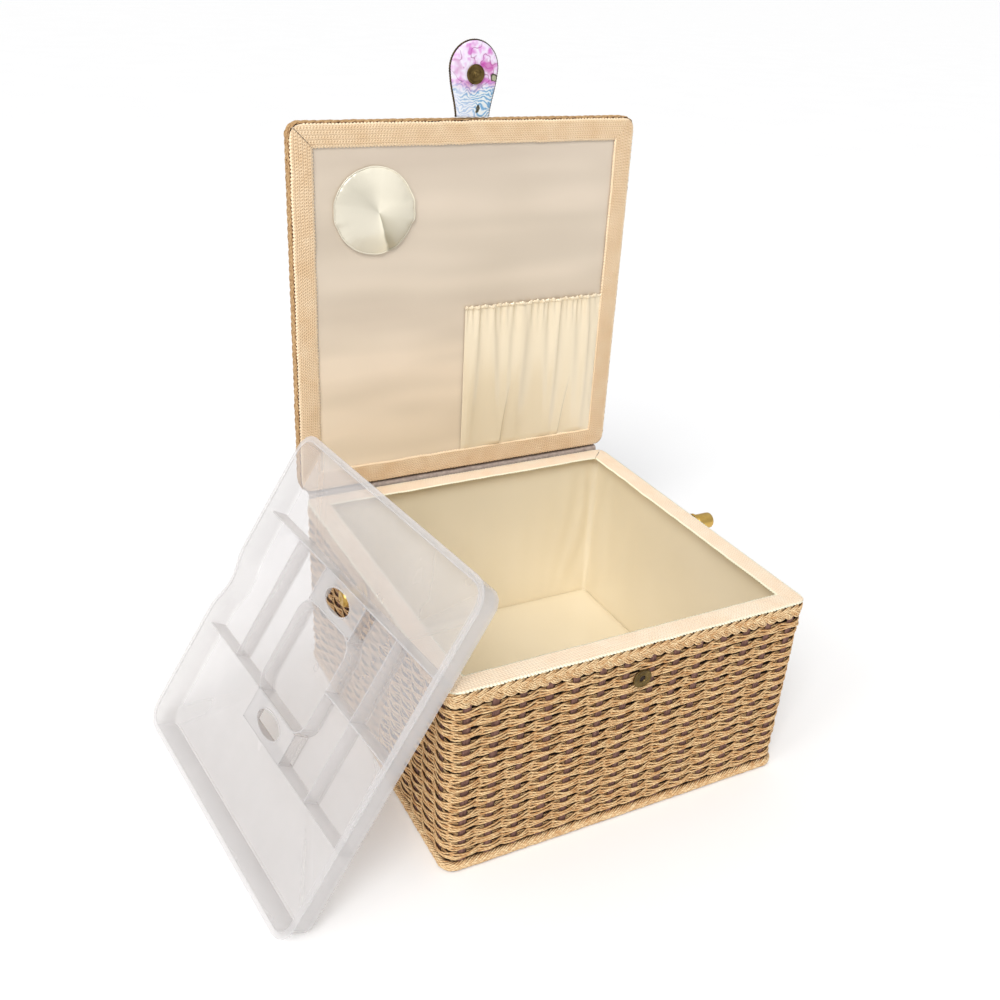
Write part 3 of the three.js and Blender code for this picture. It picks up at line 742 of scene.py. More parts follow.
# ---- tapes ------------------------------------------------------------------------------------
def round_corners(points, limit):
    """Pulls in what passes the tape's rounded outer corners."""
    for sign in (-1, 1):
        past, drop = points[..., 0] * sign - limit, -points[..., 1] - limit
        reach = np.hypot(past, drop)
        mask = (past > 0) & (drop > 0) & (reach > TAPE_CORNER)
        scale = np.where(mask, TAPE_CORNER / np.maximum(reach, 1e-6), 1)
        points[..., 0] = np.where(mask, sign * (limit + past * scale), points[..., 0])
        points[..., 1] = np.where(mask, -(limit + drop * scale), points[..., 1])


def tape_strip(name, material, key, outer):
    """One mitred strip along the front, with looped edges, drawn flat: x along, y across, z up from 0."""
    draw = rng(key)
    count, across = 700, 13
    t = np.linspace(-1, 1, count)
    lane = np.linspace(0, 1, across)
    points = np.zeros((count, across, 3))
    wave, wave2 = smooth_noise(draw, count, 26), smooth_noise(draw, count, 22)
    for j, w in enumerate(lane):
        x = t * (outer - 0.25 - (TAPE_WIDTH * w))
        loops = 0.85 * np.abs(np.sin(x * math.pi / 2.8)) - 0.3
        edge = {0: -loops, across - 1: loops}.get(j, 0 * x)
        crown = 0.32 * math.sin(math.pi * w) ** 0.5 if 0 < w < 1 else -0.25
        points[:, j, 0] = x
        points[:, j, 1] = -outer + TAPE_WIDTH * w + edge + 0.16 * wave
        points[:, j, 2] = TAPE_THICK - 0.42 + 0.12 * (wave * (1 - w) + wave2 * w) + crown
    round_corners(points, outer - TAPE_CORNER)
    under = points.copy()
    under[..., 2] = np.minimum(points[..., 2] - 0.5, 0.45)
    grid = (count, 2 * across)
    faces = grid_faces(*grid, False, True)
    over = np.concatenate([lane, lane[::-1]]) * TAPE_WIDTH / 10
    along = t[:, None] * outer / 10
    uv = np.stack([np.broadcast_to(part, grid).ravel()[faces] for part in (along, over)], -1)
    thing = piece(name, np.concatenate([points, under[:, ::-1]], 1), faces, uv, material)
    edit(thing, fill_holes, face_out)
    return thing


def add_tapes():
    for k, side in enumerate(SIDES):
        thing = tape_strip("rim_tape_cloth_" + side, TAPE, 20 + k, 148.4)
        lift = Matrix.Translation((0, 0, (RIM_Z - TAPE_THICK) * MM))
        thing.data.transform(lift @ Matrix.Rotation(k * math.pi / 2, 4, "Z"))
        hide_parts("rim_tape_" + side)
        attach(thing, "box")
    for k, side in enumerate(SIDES):
        thing = tape_strip("lid_tape_cloth_" + side, LID_TAPE, 30 + k, 149.6)
        middle = Matrix.Translation((0, LID_MIDDLE * MM, 0))
        thing.data.transform(lid_matrix(TAPE_THICK) @ middle @ Matrix.Rotation(k * math.pi / 2, 4, "Z"))
        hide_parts("lid_tape_" + side)
        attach(thing, "lid")


def lid_matrix(depth):
    """Takes a piece drawn flat, in metres, to the lid's inner face, its underside at depth (mm)."""
    return Matrix(((1, 0, 0, 0), (0, 0, -1, (LID_Y + depth) * MM), (0, 1, 0, LID_Z * MM), (0, 0, 0, 1)))


# ---- satin ------------------------------------------------------------------------------------
def add_lining():
    """One satin strip round the four walls, slightly slack, gathered into soft folds in the corners."""
    count, levels = 480, 60
    half = LINING_HALF - 0.2
    side = quarter_length(half, LINING_CORNER)
    distance = np.arange(count) / count * 4 * side
    place, normal = around(distance, half, LINING_CORNER)
    points = np.zeros((levels, count, 3))
    corner = np.minimum(np.mod(distance, side), side - np.mod(distance, side))
    near = np.exp(-(corner / 34.0) ** 2)
    for i, level in enumerate(np.linspace(6.0, 156.4, levels)):
        belly = math.sin(math.pi * i / (levels - 1)) ** 0.7
        folds = field(distance * 0.02, level * 0.006, 3.1)
        fine = field(distance * 0.075, level * 0.012, 9.7)
        crease = np.sin(corner * 0.34 + 2.2 * folds * 3) * near
        inward = belly * (0.9 + 1.1 * folds + 0.5 * fine + 0.9 * near + 0.8 * crease)
        points[i] = raised(place - normal * np.maximum(inward, -0.4)[:, None], level)
    thing = piece("satin_walls", points, grid_faces(levels, count, False, True)[:, ::-1], None, SATIN)
    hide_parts("lining_front", "lining_back", "lining_left", "lining_right")
    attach(thing, "box")


def add_floor_pad():
    """Thin wadded satin floor with a soft rolled edge that meets the wall linings."""
    half, count = 138.4, 72
    t = np.sin(np.linspace(-1, 1, count) * math.pi / 2)
    x, y = np.meshgrid(t * half, t * half, indexing="ij")
    edge = 1 - np.maximum(np.abs(x), np.abs(y)) / half
    crown = np.clip(edge * half / 6.0, 0, 1) ** 0.5
    wave, fine = field(x * 0.018, y * 0.018, 5.0), field(x * 0.06, y * 0.03, 8.0)
    top = 6.0 + 2.2 * crown + crown * (0.5 * wave + 0.15 * fine)
    sheets = [np.stack([x, y, z], -1).reshape(-1, 3) for z in (top, np.full_like(x, 4.35))]
    faces = grid_faces(count, count)
    thing = piece("satin_floor", np.concatenate(sheets),
                  np.concatenate([faces[:, ::-1], faces + count * count]), None, SATIN)
    edit(thing, bridge, face_out)
    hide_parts("floor_pad")
    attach(thing, "box")


def lid_grid(count, half):
    """An even grid over the lid: x and the distance s from the hinge edge, in millimetres."""
    t = np.linspace(-1, 1, count)
    return np.meshgrid(t * half, LID_MIDDLE + t * half, indexing="ij")


def add_lid_satin():
    count, half = 120, 147.5
    x, s = lid_grid(count, half)
    inner = np.clip((half - np.maximum(np.abs(x), np.abs(s - LID_MIDDLE))) / 20.0, 0, 1)
    wave = field(x * 0.006, s * 0.02, 1.0) + 0.35 * field(x * 0.02, s * 0.05, 4.0)
    points = np.stack([x, LID_Y + 1.9 - inner * (0.35 * wave), LID_Z + s], -1)
    thing = piece("lid_satin_cloth", points, grid_faces(count, count)[:, ::-1], None, LID_SATIN)
    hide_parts("lid_satin")
    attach(thing, "lid")


def add_pincushion():
    """Crowned round cushion, its satin drawn slightly off centre, with a fine piped rim and gathers."""
    rings, count = 44, 160
    lo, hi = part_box("pincushion")
    cx, cz = (lo.x + hi.x) / 2 / MM, (lo.z + hi.z) / 2 / MM
    radius = (hi.x - lo.x) / 2 / MM - 0.6
    angle = np.arange(count) / count * TURN
    nick = smooth_noise(rng(40), count, 30)

    def ring(reach, y):
        return np.column_stack([cx + reach * np.cos(angle), y, cz + reach * np.sin(angle)])

    points = []
    for share in np.linspace(0, 1, rings):
        height = 8.2 * (1 - share ** 2.2) ** 0.8 + 1.2
        fold = 0.9 * np.cos(angle - math.radians(-76)) ** 3 * share * (1 - share) * 2.2
        split = 0.8 * np.tanh(4 * np.sin(angle - math.radians(-84))) * share ** 0.8 * (1 - share ** 2)
        wave = field(np.cos(angle) * share * 2.0, np.sin(angle) * share * 2.0, 2.0)
        pucker = 0.35 * nick * share ** 5 + 0.16 * np.sin(angle * 31 + 3 * nick) * share ** 9
        out = height + fold + split + 0.5 * wave * (1 - share) + pucker
        points.append(ring(radius * share + 0.4 * nick * share ** 8, LID_Y + 1.3 - out))
    points.append(points[-1] + [0, 1.4, 0])
    faces = grid_faces(rings + 1, count, False, True)
    thing = piece("pincushion_satin", np.concatenate(points), faces, None, CUSHION)
    seal(thing)
    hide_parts("pincushion")
    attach(thing, "lid")
    piping = Bundle(8)
    path = ring(radius + 0.1 + 0.3 * nick, LID_Y + 0.1 - 0.3 * nick)
    piping.tube(path, (0.0, -1.0, 0.0), 0.6, 0.75)
    rim = piping.make("pincushion_piping", CUSHION)
    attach(rim, "lid")


def gathers(u):
    """Uneven small waves across the pocket's elastic, for a share u of its width."""
    return np.sin(TURN * 21 * u + 2.4 * np.sin(9 * u) + 1.2 * np.sin(23 * u))


def pocket_depth(u, h):
    """How far the pocket stands off the lid satin, at shares u of its width and h of its height."""
    folds_at = (
        (0.09, 0.030, 0.8, 0.05), (0.19, 0.042, 1.1, -0.05), (0.315, 0.036, 0.8, 0.03),
        (0.43, 0.052, 1.25, 0.06), (0.565, 0.040, 0.9, -0.03), (0.675, 0.034, 1.2, 0.03),
        (0.79, 0.048, 0.9, -0.04), (0.905, 0.032, 1.1, 0.0),
    )
    side = np.minimum(u, 1 - u)
    rise = np.clip(side / 0.03, 0, 1) ** 0.6 * min(1.0, h / 0.035) ** 0.6
    fullness = 0.22 + 0.78 * math.sin(math.pi * min(1.0, h * 0.6 + 0.08))
    folds = -0.45
    for middle, width, tall, lean in folds_at:
        at = (u - middle - lean * (h - 0.95)) / (width * (1.55 - 0.6 * h))
        folds = folds + tall * np.exp(-np.where(at > 0, at * 1.5, at * 0.9) ** 2)
    puckers = gathers(u) * max(0.0, (h - 0.76) / 0.24) ** 1.6
    pleats = 0.0
    for middle in (0.285, 0.745):
        line = u - middle - 0.05 * (h * 2.2) ** 1.5
        tuck = np.tanh(line / 0.006) * np.exp(-(line / 0.06) ** 2)
        pleats = pleats + tuck * max(0.0, 1 - h / 0.45) ** 0.7
    hang = 1.9 * math.sin(math.pi * min(h * 1.05, 1.0)) + 1.0
    out = 0.55 + rise * (hang + 2.6 * fullness * folds + puckers - 1.5 * pleats)
    return np.maximum(out, 0.2)


def add_pocket():
    """Gathered satin pocket: sewn flat at its sides and foot, full below its narrow elastic hem, with two
    pleats at the foot."""
    cols, rows, lanes = 300, 130, 12
    x0, x1, s0, s1 = -2.0, 132.6, 17.4, 149.0
    u = np.linspace(0, 1, cols)
    points = np.zeros((cols, rows, 3))
    for j, h in enumerate(np.linspace(0, 1, rows)):
        points[:, j, 0] = x0 + (x1 - x0) * u
        points[:, j, 1] = LID_Y + 1.3 - pocket_depth(u, h)
        points[:, j, 2] = LID_Z + s0 + (s1 - s0) * h
    thing = piece("pocket_satin", points, grid_faces(cols, rows), None, PEARL)
    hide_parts("pocket")
    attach(thing, "lid")
    at = np.linspace(0, 1, cols * 3)
    ruff = gathers(at) + 0.4 * np.sin(at * TURN * 61)
    hem = np.zeros((len(at), lanes, 3))
    base = np.interp(at, u, points[:, -1, 1])
    for j in range(lanes):
        turn = j / lanes * TURN
        hem[:, j, 0] = x0 + (x1 - x0) * at + 0.3 * math.sin(turn) * np.cos(at * TURN * 27)
        hem[:, j, 1] = base - 0.1 - (0.8 + 0.3 * ruff) * math.cos(turn)
        hem[:, j, 2] = LID_Z + s1 - 0.8 + (1.5 + 0.4 * ruff) * math.sin(turn) + 0.5 * ruff
    band = piece("pocket_elastic_hem", hem, grid_faces(len(at), lanes, False, True), None, PEARL)
    edit(band, fill_holes, face_out)
    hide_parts("pocket_hem")
    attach(band, "lid")


# ---- lid outside ------------------------------------------------------------------------------
def add_lid_cover():
    """Padded floral cover: crowned over the lid and tucked in behind the edge braid."""
    count, half = 110, 147.6
    x, s = lid_grid(count, half)
    edge = half - np.maximum(np.abs(x), np.abs(s - LID_MIDDLE))
    crown = np.clip(edge / 42.0, 0, 1)
    wave = field(x * 0.014, s * 0.014, 6.0)
    over = 6.6 + 8.0 * np.sin(crown * math.pi / 2) ** 0.8 + 0.35 * wave * crown
    sheets = [np.stack([x, LID_Y + n, LID_Z + s], -1).reshape(-1, 3) for n in (over, np.full_like(x, 6.0))]
    faces = grid_faces(count, count)
    thing = piece("lid_cover_padded", np.concatenate(sheets), np.concatenate([faces, faces + count * count]),
                  None, FLORAL)
    edit(thing, bridge, face_out)
    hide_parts("lid_cover", "lid_pad")
    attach(thing, "lid")


def add_lid_braid():
    """Plaited edge of the lid, round all four sides."""
    def lay(place, normal):
        (x, y), (east, north) = place.T, normal.T
        centre = np.column_stack([x, np.full_like(x, LID_Y + 7.0), LID_Z + LID_MIDDLE + y])
        return centre, np.column_stack([east, 0 * x, north]), np.array([0.0, 1.0, 0.0])

    bundle = plait(rng(60), 149.8, lay, 62, 3.0, 0.35, 1.35, 0.74)
    thing = bundle.make("lid_plait", LID_BRAID)
    edit(thing, turn_over)
    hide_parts("lid_braid")
    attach(thing, "lid")


# ---- tab --------------------------------------------------------------------------------------
def tab_half_width(s):
    """Half width of the tongue at distance s from the lid's hinge edge."""
    bend = math.radians(12)
    joint = TAB_TIP_S - TAB_TIP_RADIUS * math.sin(bend)
    share = np.clip((s - TAB_ROOT_S) / (joint - TAB_ROOT_S), 0, 1)
    growth = 0.35 * share + 0.65 * share * share * (3 - 2 * share)
    neck = TAB_ROOT_HALF + (TAB_TIP_RADIUS * math.cos(bend) - TAB_ROOT_HALF) * growth
    tip = np.sqrt(np.maximum(TAB_TIP_RADIUS ** 2 - (s - TAB_TIP_S) ** 2, 0.0))
    return np.where(s < joint, neck, tip)


def add_tab():
    """Padded tongue with a bound back edge."""
    rings, count = 90, 64
    reach = TAB_TIP_S + TAB_TIP_RADIUS - TAB_ROOT_S
    s = TAB_ROOT_S + reach * np.sin(np.linspace(0, 1, rings) * math.pi / 2)
    half = tab_half_width(s)
    angle = np.arange(count) / count * TURN
    across, over = np.cos(angle), np.sin(angle)
    flat = np.sign(across) * np.abs(across) ** 0.55
    puff = np.sign(over) * np.abs(over) ** 0.75
    points = np.zeros((rings, count, 3))
    for k in range(rings):
        thick = 1.95 * min(1.0, (half[k] / 6.0)) ** 0.5
        bump = 0.12 * field(flat * half[k] * 0.15, s[k] * 0.15, 3.0)
        points[k, :, 0] = flat * half[k]
        points[k, :, 1] = LID_Y + 4.9 + (puff * thick + bump)
        points[k, :, 2] = LID_Z + s[k]
    thing = piece("tab_padded", points, grid_faces(rings, count, False, True), None, FLORAL_TAB)
    seal(thing, 5e-5)
    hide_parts("tab_tongue")
    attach(thing, "tab")
    add_tab_binding(s)


def add_tab_binding(s):
    """Two dark threads twisted round each other along the tongue's edge."""
    count = 420
    there_and_back = np.concatenate([s[:-1], s[::-1]])
    sign = np.concatenate([-np.ones(len(s) - 1), np.ones(len(s))])
    line = np.column_stack([sign * tab_half_width(there_and_back), there_and_back])
    gaps = np.concatenate([[0], np.cumsum(np.linalg.norm(np.diff(line, axis=0), axis=1))])
    at = np.linspace(0, gaps[-1], count)
    x, s = np.interp(at, gaps, line[:, 0]), np.interp(at, gaps, line[:, 1])
    along = unit(np.gradient(np.column_stack([x, s]), axis=0))
    away = np.column_stack([-along[:, 1], np.zeros(count), along[:, 0]])
    bundle = Bundle(8)
    for k in range(2):
        turn = at * 1.7 + k * math.pi
        middle = np.column_stack([x, LID_Y + 5.9 + 0.55 * np.cos(turn), LID_Z + s])
        path = middle + away * (0.35 * np.sin(turn) + 0.15)[:, None]
        bundle.tube(path, away, 0.72, 0.6, False)
    binding = bundle.make("tab_stitched_binding", STITCH)
    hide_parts("tab_binding")
    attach(binding, "tab")


# ---- metal ------------------------------------------------------------------------------------
def lathe(name, profile, material, matrix, steps=72):
    """Turned piece about Z from radius and height pairs in millimetres, placed by matrix (metres)."""
    angle = np.arange(steps) / steps * TURN
    points = [np.column_stack([r * np.cos(angle), r * np.sin(angle), np.full(steps, h)]) for r, h in profile]
    thing = piece(name, np.concatenate(points), grid_faces(len(profile), steps, False, True), None, material)
    edit(thing, weld, face_out)
    thing.data.transform(matrix)
    return thing


def disc_profile(thick, boss):
    """A clasp disc with a rolled rim, and the boss or socket given for its middle."""
    radius, rim = 7.4, 0.35
    line = [(0.0, 0.0), (radius - rim, 0.0), (radius, rim), (radius, thick - 0.5), (radius - 0.5, thick),
            (radius - 1.1, thick), (radius - 1.5, thick - 0.35), (radius * 0.55, thick - 0.35),
            (radius * 0.5, thick - 0.1), (2.9, thick - 0.1)]
    return line + boss


def add_clasp():
    quarter = Matrix.Rotation(math.pi / 2, 4, "X")
    front = Matrix.Translation((0, -0.1503, 0.1306)) @ quarter
    socket = [(2.7, 1.6), (2.5, 0.5), (0.0, 0.4)]
    disc = lathe("front_clasp_disc", disc_profile(1.85, socket), BRASS, front)
    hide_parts("front_snap")
    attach(disc, "box")
    # Dark disc in the socket: painted shade in its hollow.
    inside = [(0.0, 0.35), (2.3, 0.42), (2.35, 0.75), (1.2, 0.62), (0.0, 0.55)]
    hole = lathe("front_clasp_hole", inside, SHADE_BOARD, front)
    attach(hole, "box")
    stud = [(2.4, 1.3), (2.1, 1.9), (2.0, 2.7), (1.5, 3.05), (0.9, 2.95), (0.0, 2.8)]
    on_tab = Matrix.Translation((0, 0.1526, 0.4962)) @ quarter
    disc = lathe("tab_clasp_disc", disc_profile(1.55, stud), BRASS, on_tab)
    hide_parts("tab_snap")
    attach(disc, "tab")


def add_handle_posts():
    """A gold post with its collar on each side, turned outwards from the box."""
    barrel = [(0.0, 150.0), (2.0, 150.0), (2.0, 152.9), (6.2, 153.0), (6.8, 153.5), (6.95, 154.4),
              (6.95, 165.8), (6.7, 167.6), (6.0, 168.6), (5.2, 169.0), (1.6, 169.0), (1.2, 168.4),
              (0.0, 168.4)]
    collar = [(2.3, 150.4), (8.1, 150.4), (8.5, 150.8), (8.5, 151.8), (7.9, 152.5), (6.4, 152.7),
              (2.3, 152.7), (2.3, 150.4)]
    for side, sign in (("left", -1), ("right", 1)):
        where = Matrix.Translation((0, 0, 0.149)) @ Matrix.Rotation(sign * math.pi / 2, 4, "Y")
        post = lathe("handle_post_turned_" + side, barrel, GOLD, where)
        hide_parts("handle_post_" + side)
        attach(post, "box")
        ring = lathe("handle_collar_turned_" + side, collar, GOLD, where)
        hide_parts("handle_collar_" + side)
        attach(ring, "box")


# ---- hinge ------------------------------------------------------------------------------------
def add_hinge():
    """Cloth strip from the back of the basket over the gap to the lid's hinge edge."""
    count = 200
    profile = [(150.6, 141.0), (150.7, 146.0), (150.8, 151.0), (150.9, 155.5), (151.1, 157.8), (151.8, 159.2),
               (153.5, 159.8), (156.5, 159.9), (160.0, 159.9), (163.2, 159.9)]
    x = np.linspace(-144, 144, count)
    points = np.zeros((count, len(profile), 3))
    wave = smooth_noise(rng(70), count, 30)
    for j, (y, z) in enumerate(profile):
        points[:, j] = np.column_stack([x, y + 0.12 * wave, z + 0.15 * wave * (1 if j > 4 else 0)])
    thing = piece("hinge_cloth", points, grid_faces(count, len(profile)), None, HINGE)
    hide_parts("hinge_cloth_lower", "hinge_cloth_upper")
    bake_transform(thing)


# ---- tray: drawn flat in its own frame, x down the slope, y to the front, z out of its open side ----
def notch(place):
    """Pushes the middle of the back edge inwards, for the finger notch."""
    along = np.exp(-(np.abs(place[:, 0] - TRAY_SIZE / 2) / 17.0) ** 2.6)
    dip = 8.0 * along * np.clip(1 - place[:, 1] / 30.0, 0, 1)
    return np.column_stack([place[:, 0], place[:, 1] + dip])


def tray_loop(count, half, radius):
    """A notched rounded square about the tray's middle."""
    return notch(even_loop(count, half, radius)[0] + TRAY_SIZE / 2)


def slab(name, x0, x1, y0, y1, z0, z1):
    corners = [(x, y, z) for z in (z0, z1) for x, y in ((x0, y0), (x1, y0), (x1, y1), (x0, y1))]
    faces = [(3, 2, 1, 0), (4, 5, 6, 7), (0, 1, 5, 4), (1, 2, 6, 5), (2, 3, 7, 6), (3, 0, 4, 7)]
    return piece(name, corners, faces)


def rib_section():
    """Section of a thin wall, across and up, with a slight draft and a rounded top edge."""
    half, top = RIB_HALF, RIB_TOP
    return [(-half - 0.35, RIB_LOW), (-half, top - 0.5), (-half * 0.6, top - 0.1), (half * 0.6, top - 0.1),
            (half, top - 0.5), (half + 0.35, RIB_LOW)]


def rib_mesh(start, end):
    """Straight thin wall between two places."""
    a, b = np.array(start), np.array(end)
    along = (b - a) / np.linalg.norm(b - a)
    side = np.array([-along[1], along[0]])
    more = along * RIB_HALF * 0.9
    section = rib_section()
    points = [np.array([*(spot + side * w), z]) for spot in (a - more, b + more) for w, z in section]
    thing = piece("rib", points, grid_faces(2, len(section), False, True), None, PLASTIC_RIB)
    seal(thing, 1e-7)
    return thing


def rounded_rectangle(x0, x1, y0, y1, radius, steps=10):
    """Points of a rounded rectangle, anticlockwise."""
    corners = ((x1 - radius, y0 + radius), (x1 - radius, y1 - radius), (x0 + radius, y1 - radius),
               (x0 + radius, y0 + radius))
    points = []
    for k, (cx, cy) in enumerate(corners):
        for angle in np.radians(np.linspace(90 * k - 90, 90 * k, steps)):
            points.append((cx + radius * math.cos(angle), cy + radius * math.sin(angle)))
    return np.array(points)


def wall_loop(line):
    """Closed thin wall that follows a loop."""
    along = unit(np.roll(line, -1, 0) - np.roll(line, 1, 0))
    side = np.column_stack([-along[:, 1], along[:, 0]])
    rings = [raised(line + side * w, z) for w, z in rib_section()]
    faces = grid_faces(len(rings), len(line), True, True)
    thing = piece("loop", np.concatenate(rings), faces, None, PLASTIC_RIB)
    seal(thing, 1e-7)
    return thing


def oval(count, x, y, short, long, z):
    """A level oval ring about x, y."""
    turn = np.arange(count) / count * TURN
    return np.column_stack([x + short * np.cos(turn), y + long * np.sin(turn), np.full(count, z)])


def platform_mesh(x0, x1):
    """Raised plate with an oval finger hole."""
    count, thick = 72, 1.5
    y0, y1 = PLATE_Y
    turn = np.arange(count) / count * TURN
    reach = 1 / np.maximum(np.abs(np.cos(turn)) / (x1 - x0), np.abs(np.sin(turn)) / (y1 - y0)) / 2
    edge = (count, (x0 + x1) / 2, (y0 + y1) / 2, reach, reach)
    hole = (count, (x0 + x1) / 2, HOLE_Y, HOLE_SHORT, HOLE_LONG)
    over, under = RIB_TOP - 0.15, RIB_TOP - thick
    rings = [oval(*edge, over), oval(*hole, over), oval(*hole, under), oval(*edge, under)]
    thing = piece("plate", np.concatenate(rings), grid_faces(4, count, True, True), None, PLASTIC)
    seal(thing, 1e-7)
    return thing


def apply_modifiers(thing):
    """Bakes the piece's modifiers into its mesh."""
    bpy.context.view_layer.update()
    done = bpy.data.meshes.new_from_object(thing.evaluated_get(bpy.context.evaluated_depsgraph_get()))
    thing.modifiers.clear()
    thing.data = done
    smooth(done)


def join(thing, parts):
    """Gathers several pieces into one mesh, keeping their materials."""
    work = bmesh.new()
    materials = list(thing.data.materials)
    for source in [thing] + parts:
        for material in source.data.materials:
            if material not in materials:
                materials.append(material)
        index = [materials.index(material) for material in source.data.materials]
        before = len(work.faces)
        work.from_mesh(source.data)
        work.faces.ensure_lookup_table()
        for face in work.faces[before:]:
            face.material_index = index[min(face.material_index, len(index) - 1)]
    work.to_mesh(thing.data)
    work.free()
    thing.data.materials.clear()
    for material in materials:
        thing.data.materials.append(material)
    for part in parts:
        bpy.data.objects.remove(part)


PLATES = ((71.0, 97.0), (175.0, 201.0))
PLATE_Y = (105.0, 169.0)
HOLE_Y = 137.0
HOLE_SHORT, HOLE_LONG = 8.4, 18.2
WALL_TOP_HALF = TRAY_SIZE / 2 - TRAY_LEDGE
WALL_FOOT_HALF = WALL_TOP_HALF - TRAY_DRAFT
RIB_START, RIB_END = TRAY_LEDGE + TRAY_DRAFT + 0.6, TRAY_SIZE - TRAY_LEDGE - TRAY_DRAFT - 0.6
RIB_LINES = (
    (71.0, RIB_START, 71.0, RIB_END), (176.0, RIB_START, 176.0, 105.0), (136.0, 175.0, 136.0, RIB_END),
    (201.0, 105.0, 201.0, RIB_END), (71.0, 58.0, 176.0, 58.0), (71.0, 105.0, 98.0, 105.0),
    (176.0, 105.0, 201.0, 105.0), (71.0, 169.0, 98.0, 169.0), (176.0, 169.0, 201.0, 169.0),
    (71.0, 213.0, 201.0, 213.0),
)


def tray_shell():
    """The tray's floor, walls and flange, open under the two finger-hole plates."""
    count = 160
    rim, top, foot = TRAY_SIZE / 2, WALL_TOP_HALF, WALL_FOOT_HALF
    floor, inside = -TRAY_DEPTH, TRAY_WALL - TRAY_DEPTH
    profile = [
        (1.0, 0.5, floor), (60.0, 8.0, floor), (foot - 1.2, 9.5, floor), (foot, 10.5, floor + 1.0),
        (top, 13.5, -2.4), (top + 0.6, 14.0, -1.7), (rim - 0.4, 16.6, -1.6), (rim, 17.0, -1.2),
        (rim, 17.0, -0.5), (rim - 0.4, 16.6, -0.05), (top + 0.2, 13.8, 0.0),
        (top - TRAY_WALL + 0.4, 12.6, -0.2), (top - TRAY_WALL, 12.2, -0.8),
        (foot - TRAY_WALL + 0.6, 9.0, inside + 1.6), (foot - TRAY_WALL - 1.2, 8.0, inside),
        (60.0, 6.0, inside), (1.0, 0.5, inside),
    ]
    rings = [raised(tray_loop(count, half, radius), z) for half, radius, z in profile]
    faces = grid_faces(len(rings), count, False, True)
    thing = piece("tray_moulded", np.concatenate(rings), faces, None, PLASTIC)
    seal(thing)
    boxes = []
    for x0, x1 in PLATES:
        box = slab("cut", x0 + 0.7, x1 - 0.7, PLATE_Y[0] + 0.7, PLATE_Y[1] - 0.7, -30.0, -10.0)
        cut = thing.modifiers.new("opening", "BOOLEAN")
        cut.operation, cut.object, cut.solver = "DIFFERENCE", box, "EXACT"
        boxes.append(box)
    apply_modifiers(thing)
    for box in boxes:
        bpy.data.objects.remove(box)
    # The walls take the rib plastic, whose glow is painted light.
    thing.data.materials.append(PLASTIC_RIB)
    for face in thing.data.polygons:
        reach = max(abs(face.center.x / MM - rim), abs(face.center.y / MM - rim))
        face.material_index = int(reach > foot - TRAY_WALL - 1.0)
    return thing


def tray_highlight_beads(well):
    """Rounded edges along the tray's rim, walls and holes, in a glowing white plastic: painted highlights
    where the edges catch light.
    """
    beads = Bundle(6)
    up = (0.0, 0.0, 1.0)
    beads.tube(raised(tray_loop(320, WALL_TOP_HALF - 1.2, 12.8)), up, 0.6, 0.4)
    for x0, x1 in PLATES:
        ring = oval(64, (x0 + x1) / 2, HOLE_Y, HOLE_SHORT + 0.1, HOLE_LONG + 0.1, RIB_TOP - 0.1)
        beads.tube(ring, up, 0.7, 0.5)
    gate = oval(24, TRAY_SIZE / 2, HOLE_Y, 2.6, 2.6, TRAY_WALL + 0.1 - TRAY_DEPTH)
    beads.tube(gate, up, 0.3, 0.3)
    beads.tube(raised(well, RIB_TOP), up, 0.6, 0.35)
    for x0, y0, x1, y1 in RIB_LINES:
        t = np.linspace(0, 1, 12)[:, None]
        path = np.array([x0, y0, RIB_TOP]) * (1 - t) + np.array([x1, y1, RIB_TOP]) * t
        beads.tube(path, up, 0.6, 0.35, False)
    return beads.make("tray_highlight_beads", PLASTIC_HIGHLIGHT)


def add_tray():
    """The moulded tray with its walls and plates, leaning on the left of the box."""
    thing = tray_shell()
    well = rounded_rectangle(97.0, 176.0, 99.0, 175.0, 14.0)
    parts = [rib_mesh(line[:2], line[2:]) for line in RIB_LINES]
    parts.append(wall_loop(well))
    parts += [platform_mesh(x0, x1) for x0, x1 in PLATES]
    parts.append(tray_highlight_beads(well))
    join(thing, parts)
    slope = math.radians(TRAY_SLOPE)
    down = Vector((-math.cos(slope), 0, -math.sin(slope)))
    out = Vector((-math.sin(slope), 0, math.cos(slope)))
    lean = Matrix((down, Vector((0, -1, 0)), out)).transposed().to_4x4()
    yaw = Matrix.Rotation(math.radians(TRAY_YAW), 4, "Z")
    thing.data.transform(Matrix.Translation(Vector(TRAY_ORIGIN) * MM) @ yaw @ lean)
    thing.data.set_sharp_from_angle(angle=math.radians(38))
    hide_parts("tray")
    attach(thing, "tray")


def paint_boards():
    """Gives the CAD boards the near-black board colour, painted shade where they show."""
    for name in ["wall_board_" + side for side in SIDES] + ["base_board", "lid_board"]:
        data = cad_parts[name].data
        data.materials.clear()
        data.materials.append(SHADE_BOARD)


# ---- camera, light, floor ---------------------------------------------------------------------
def add_camera():
    data = bpy.data.cameras.new("camera")
    data.lens, data.sensor_width = 38.76, 36.0
    data.clip_start, data.clip_end = 0.01, 1000
    thing = bpy.data.objects.new("camera", data)
    azimuth, elevation, roll = (math.radians(angle) for angle in (-28.45, 26.91, 3.23))
    level = math.cos(elevation)
    back = Vector((math.sin(azimuth) * level, -math.cos(azimuth) * level, math.sin(elevation)))
    right = (-back).cross(Vector((0, 0, 1))).normalized()
    up = right.cross(-back)
    side = right * math.cos(roll) + up * math.sin(roll)
    over = up * math.cos(roll) - right * math.sin(roll)
    turn = Matrix((side, over, back)).transposed().to_4x4()
    thing.matrix_world = Matrix.Translation((-0.3906, -0.6470, 0.5807)) @ turn
    bpy.context.scene.collection.objects.link(thing)
    bpy.context.scene.camera = thing


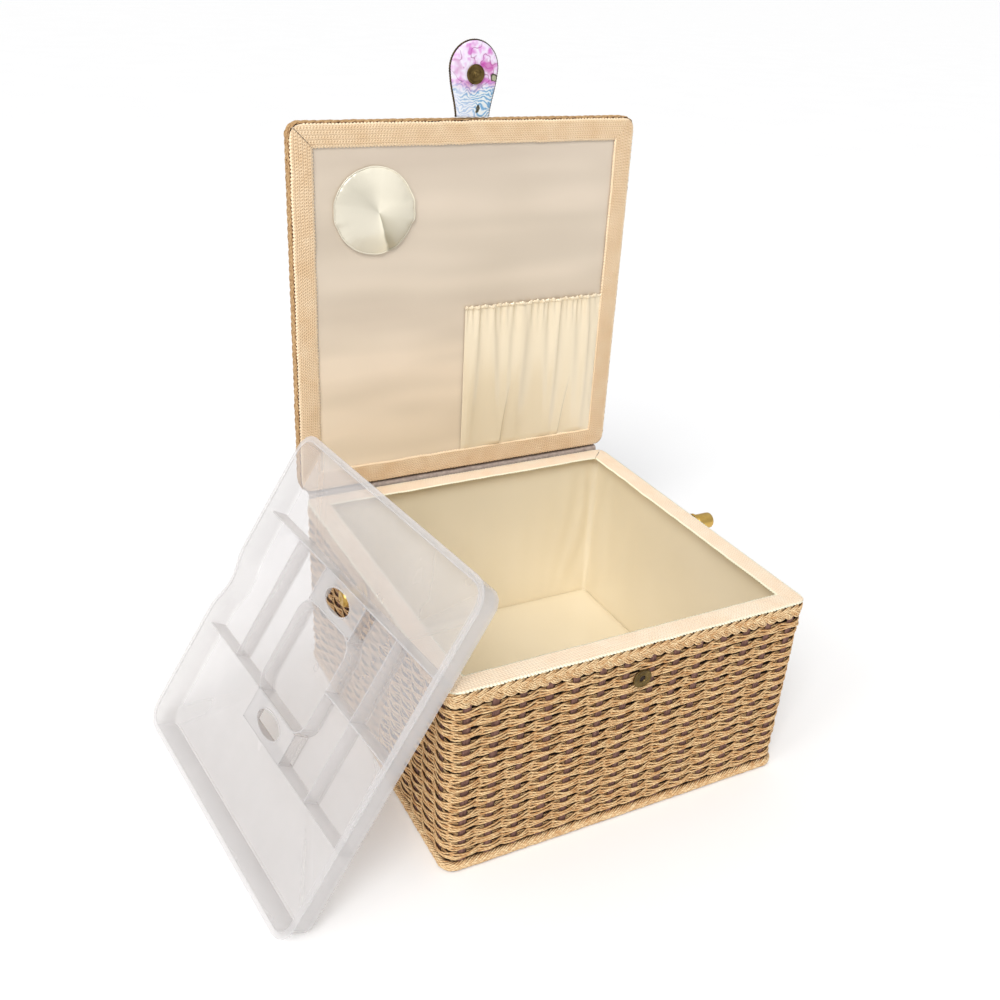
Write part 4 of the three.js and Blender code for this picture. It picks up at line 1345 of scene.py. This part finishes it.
def add_light(name, kind, energy, place, target, **settings):
    data = bpy.data.lights.new(name, kind)
    data.energy = energy
    for key, value in settings.items():
        setattr(data, key, value)
    thing = bpy.data.objects.new(name, data)
    thing.location = place
    thing.rotation_euler = (Vector(target) - Vector(place)).to_track_quat("-Z", "Y").to_euler()
    bpy.context.scene.collection.objects.link(thing)


def add_world():
    """Pale sky, grey at the horizon and white overhead, shown in plain display colours."""
    world = bpy.data.worlds.new("studio")
    world.use_nodes = True
    tree = world.node_tree
    kinds = ("TexCoord", "SeparateXYZ", "ValToRGB")
    coords, split, ramp = (tree.nodes.new("ShaderNode" + kind) for kind in kinds)
    for k, (at, colour) in enumerate(((0.0, (0.5, 0.5, 0.51, 1)), (0.85, (1, 1, 1, 1)))):
        spot = ramp.color_ramp.elements[k]
        spot.position, spot.color = at, colour
    sky = tree.nodes["Background"]
    sky.inputs["Strength"].default_value = 0.72
    tree.links.new(coords.outputs["Generated"], split.inputs[0])
    tree.links.new(split.outputs["Z"], ramp.inputs["Fac"])
    tree.links.new(ramp.outputs["Color"], sky.inputs["Color"])
    bpy.context.scene.world = world
    bpy.context.scene.view_settings.view_transform = "Standard"


def add_floor():
    s = Shader("floor_white", Roughness=0.9)
    s.colour(s.between(s.noise(4.0, 2.0), grey(0.955), grey(0.97)))
    half, z = 300000.0, -0.3
    corners = [(-half, -half, z), (half, -half, z), (half, half, z), (-half, half, z)]
    floor = piece("studio_floor", corners, [(0, 1, 2, 3)], None, s.material)


add_camera()
add_world()
add_light("key", "SUN", 1.9, (0, 0, 0), (0.62, 0.72, -0.95), angle=math.radians(28))
add_light("softbox", "AREA", 5, (-1.4, -0.5, 1.3), (0, 0, 0.2), shape="SQUARE", size=0.5)
add_floor()
add_weave()
add_stakes()
add_shade_backing()
add_rim_braid()
add_foot_braid()
add_tapes()
add_lining()
add_floor_pad()
add_lid_satin()
add_pincushion()
add_pocket()
add_lid_cover()
add_lid_braid()
add_tab()
add_clasp()
add_handle_posts()
add_hinge()
add_tray()
paint_boards()

bpy.context.view_layer.update()
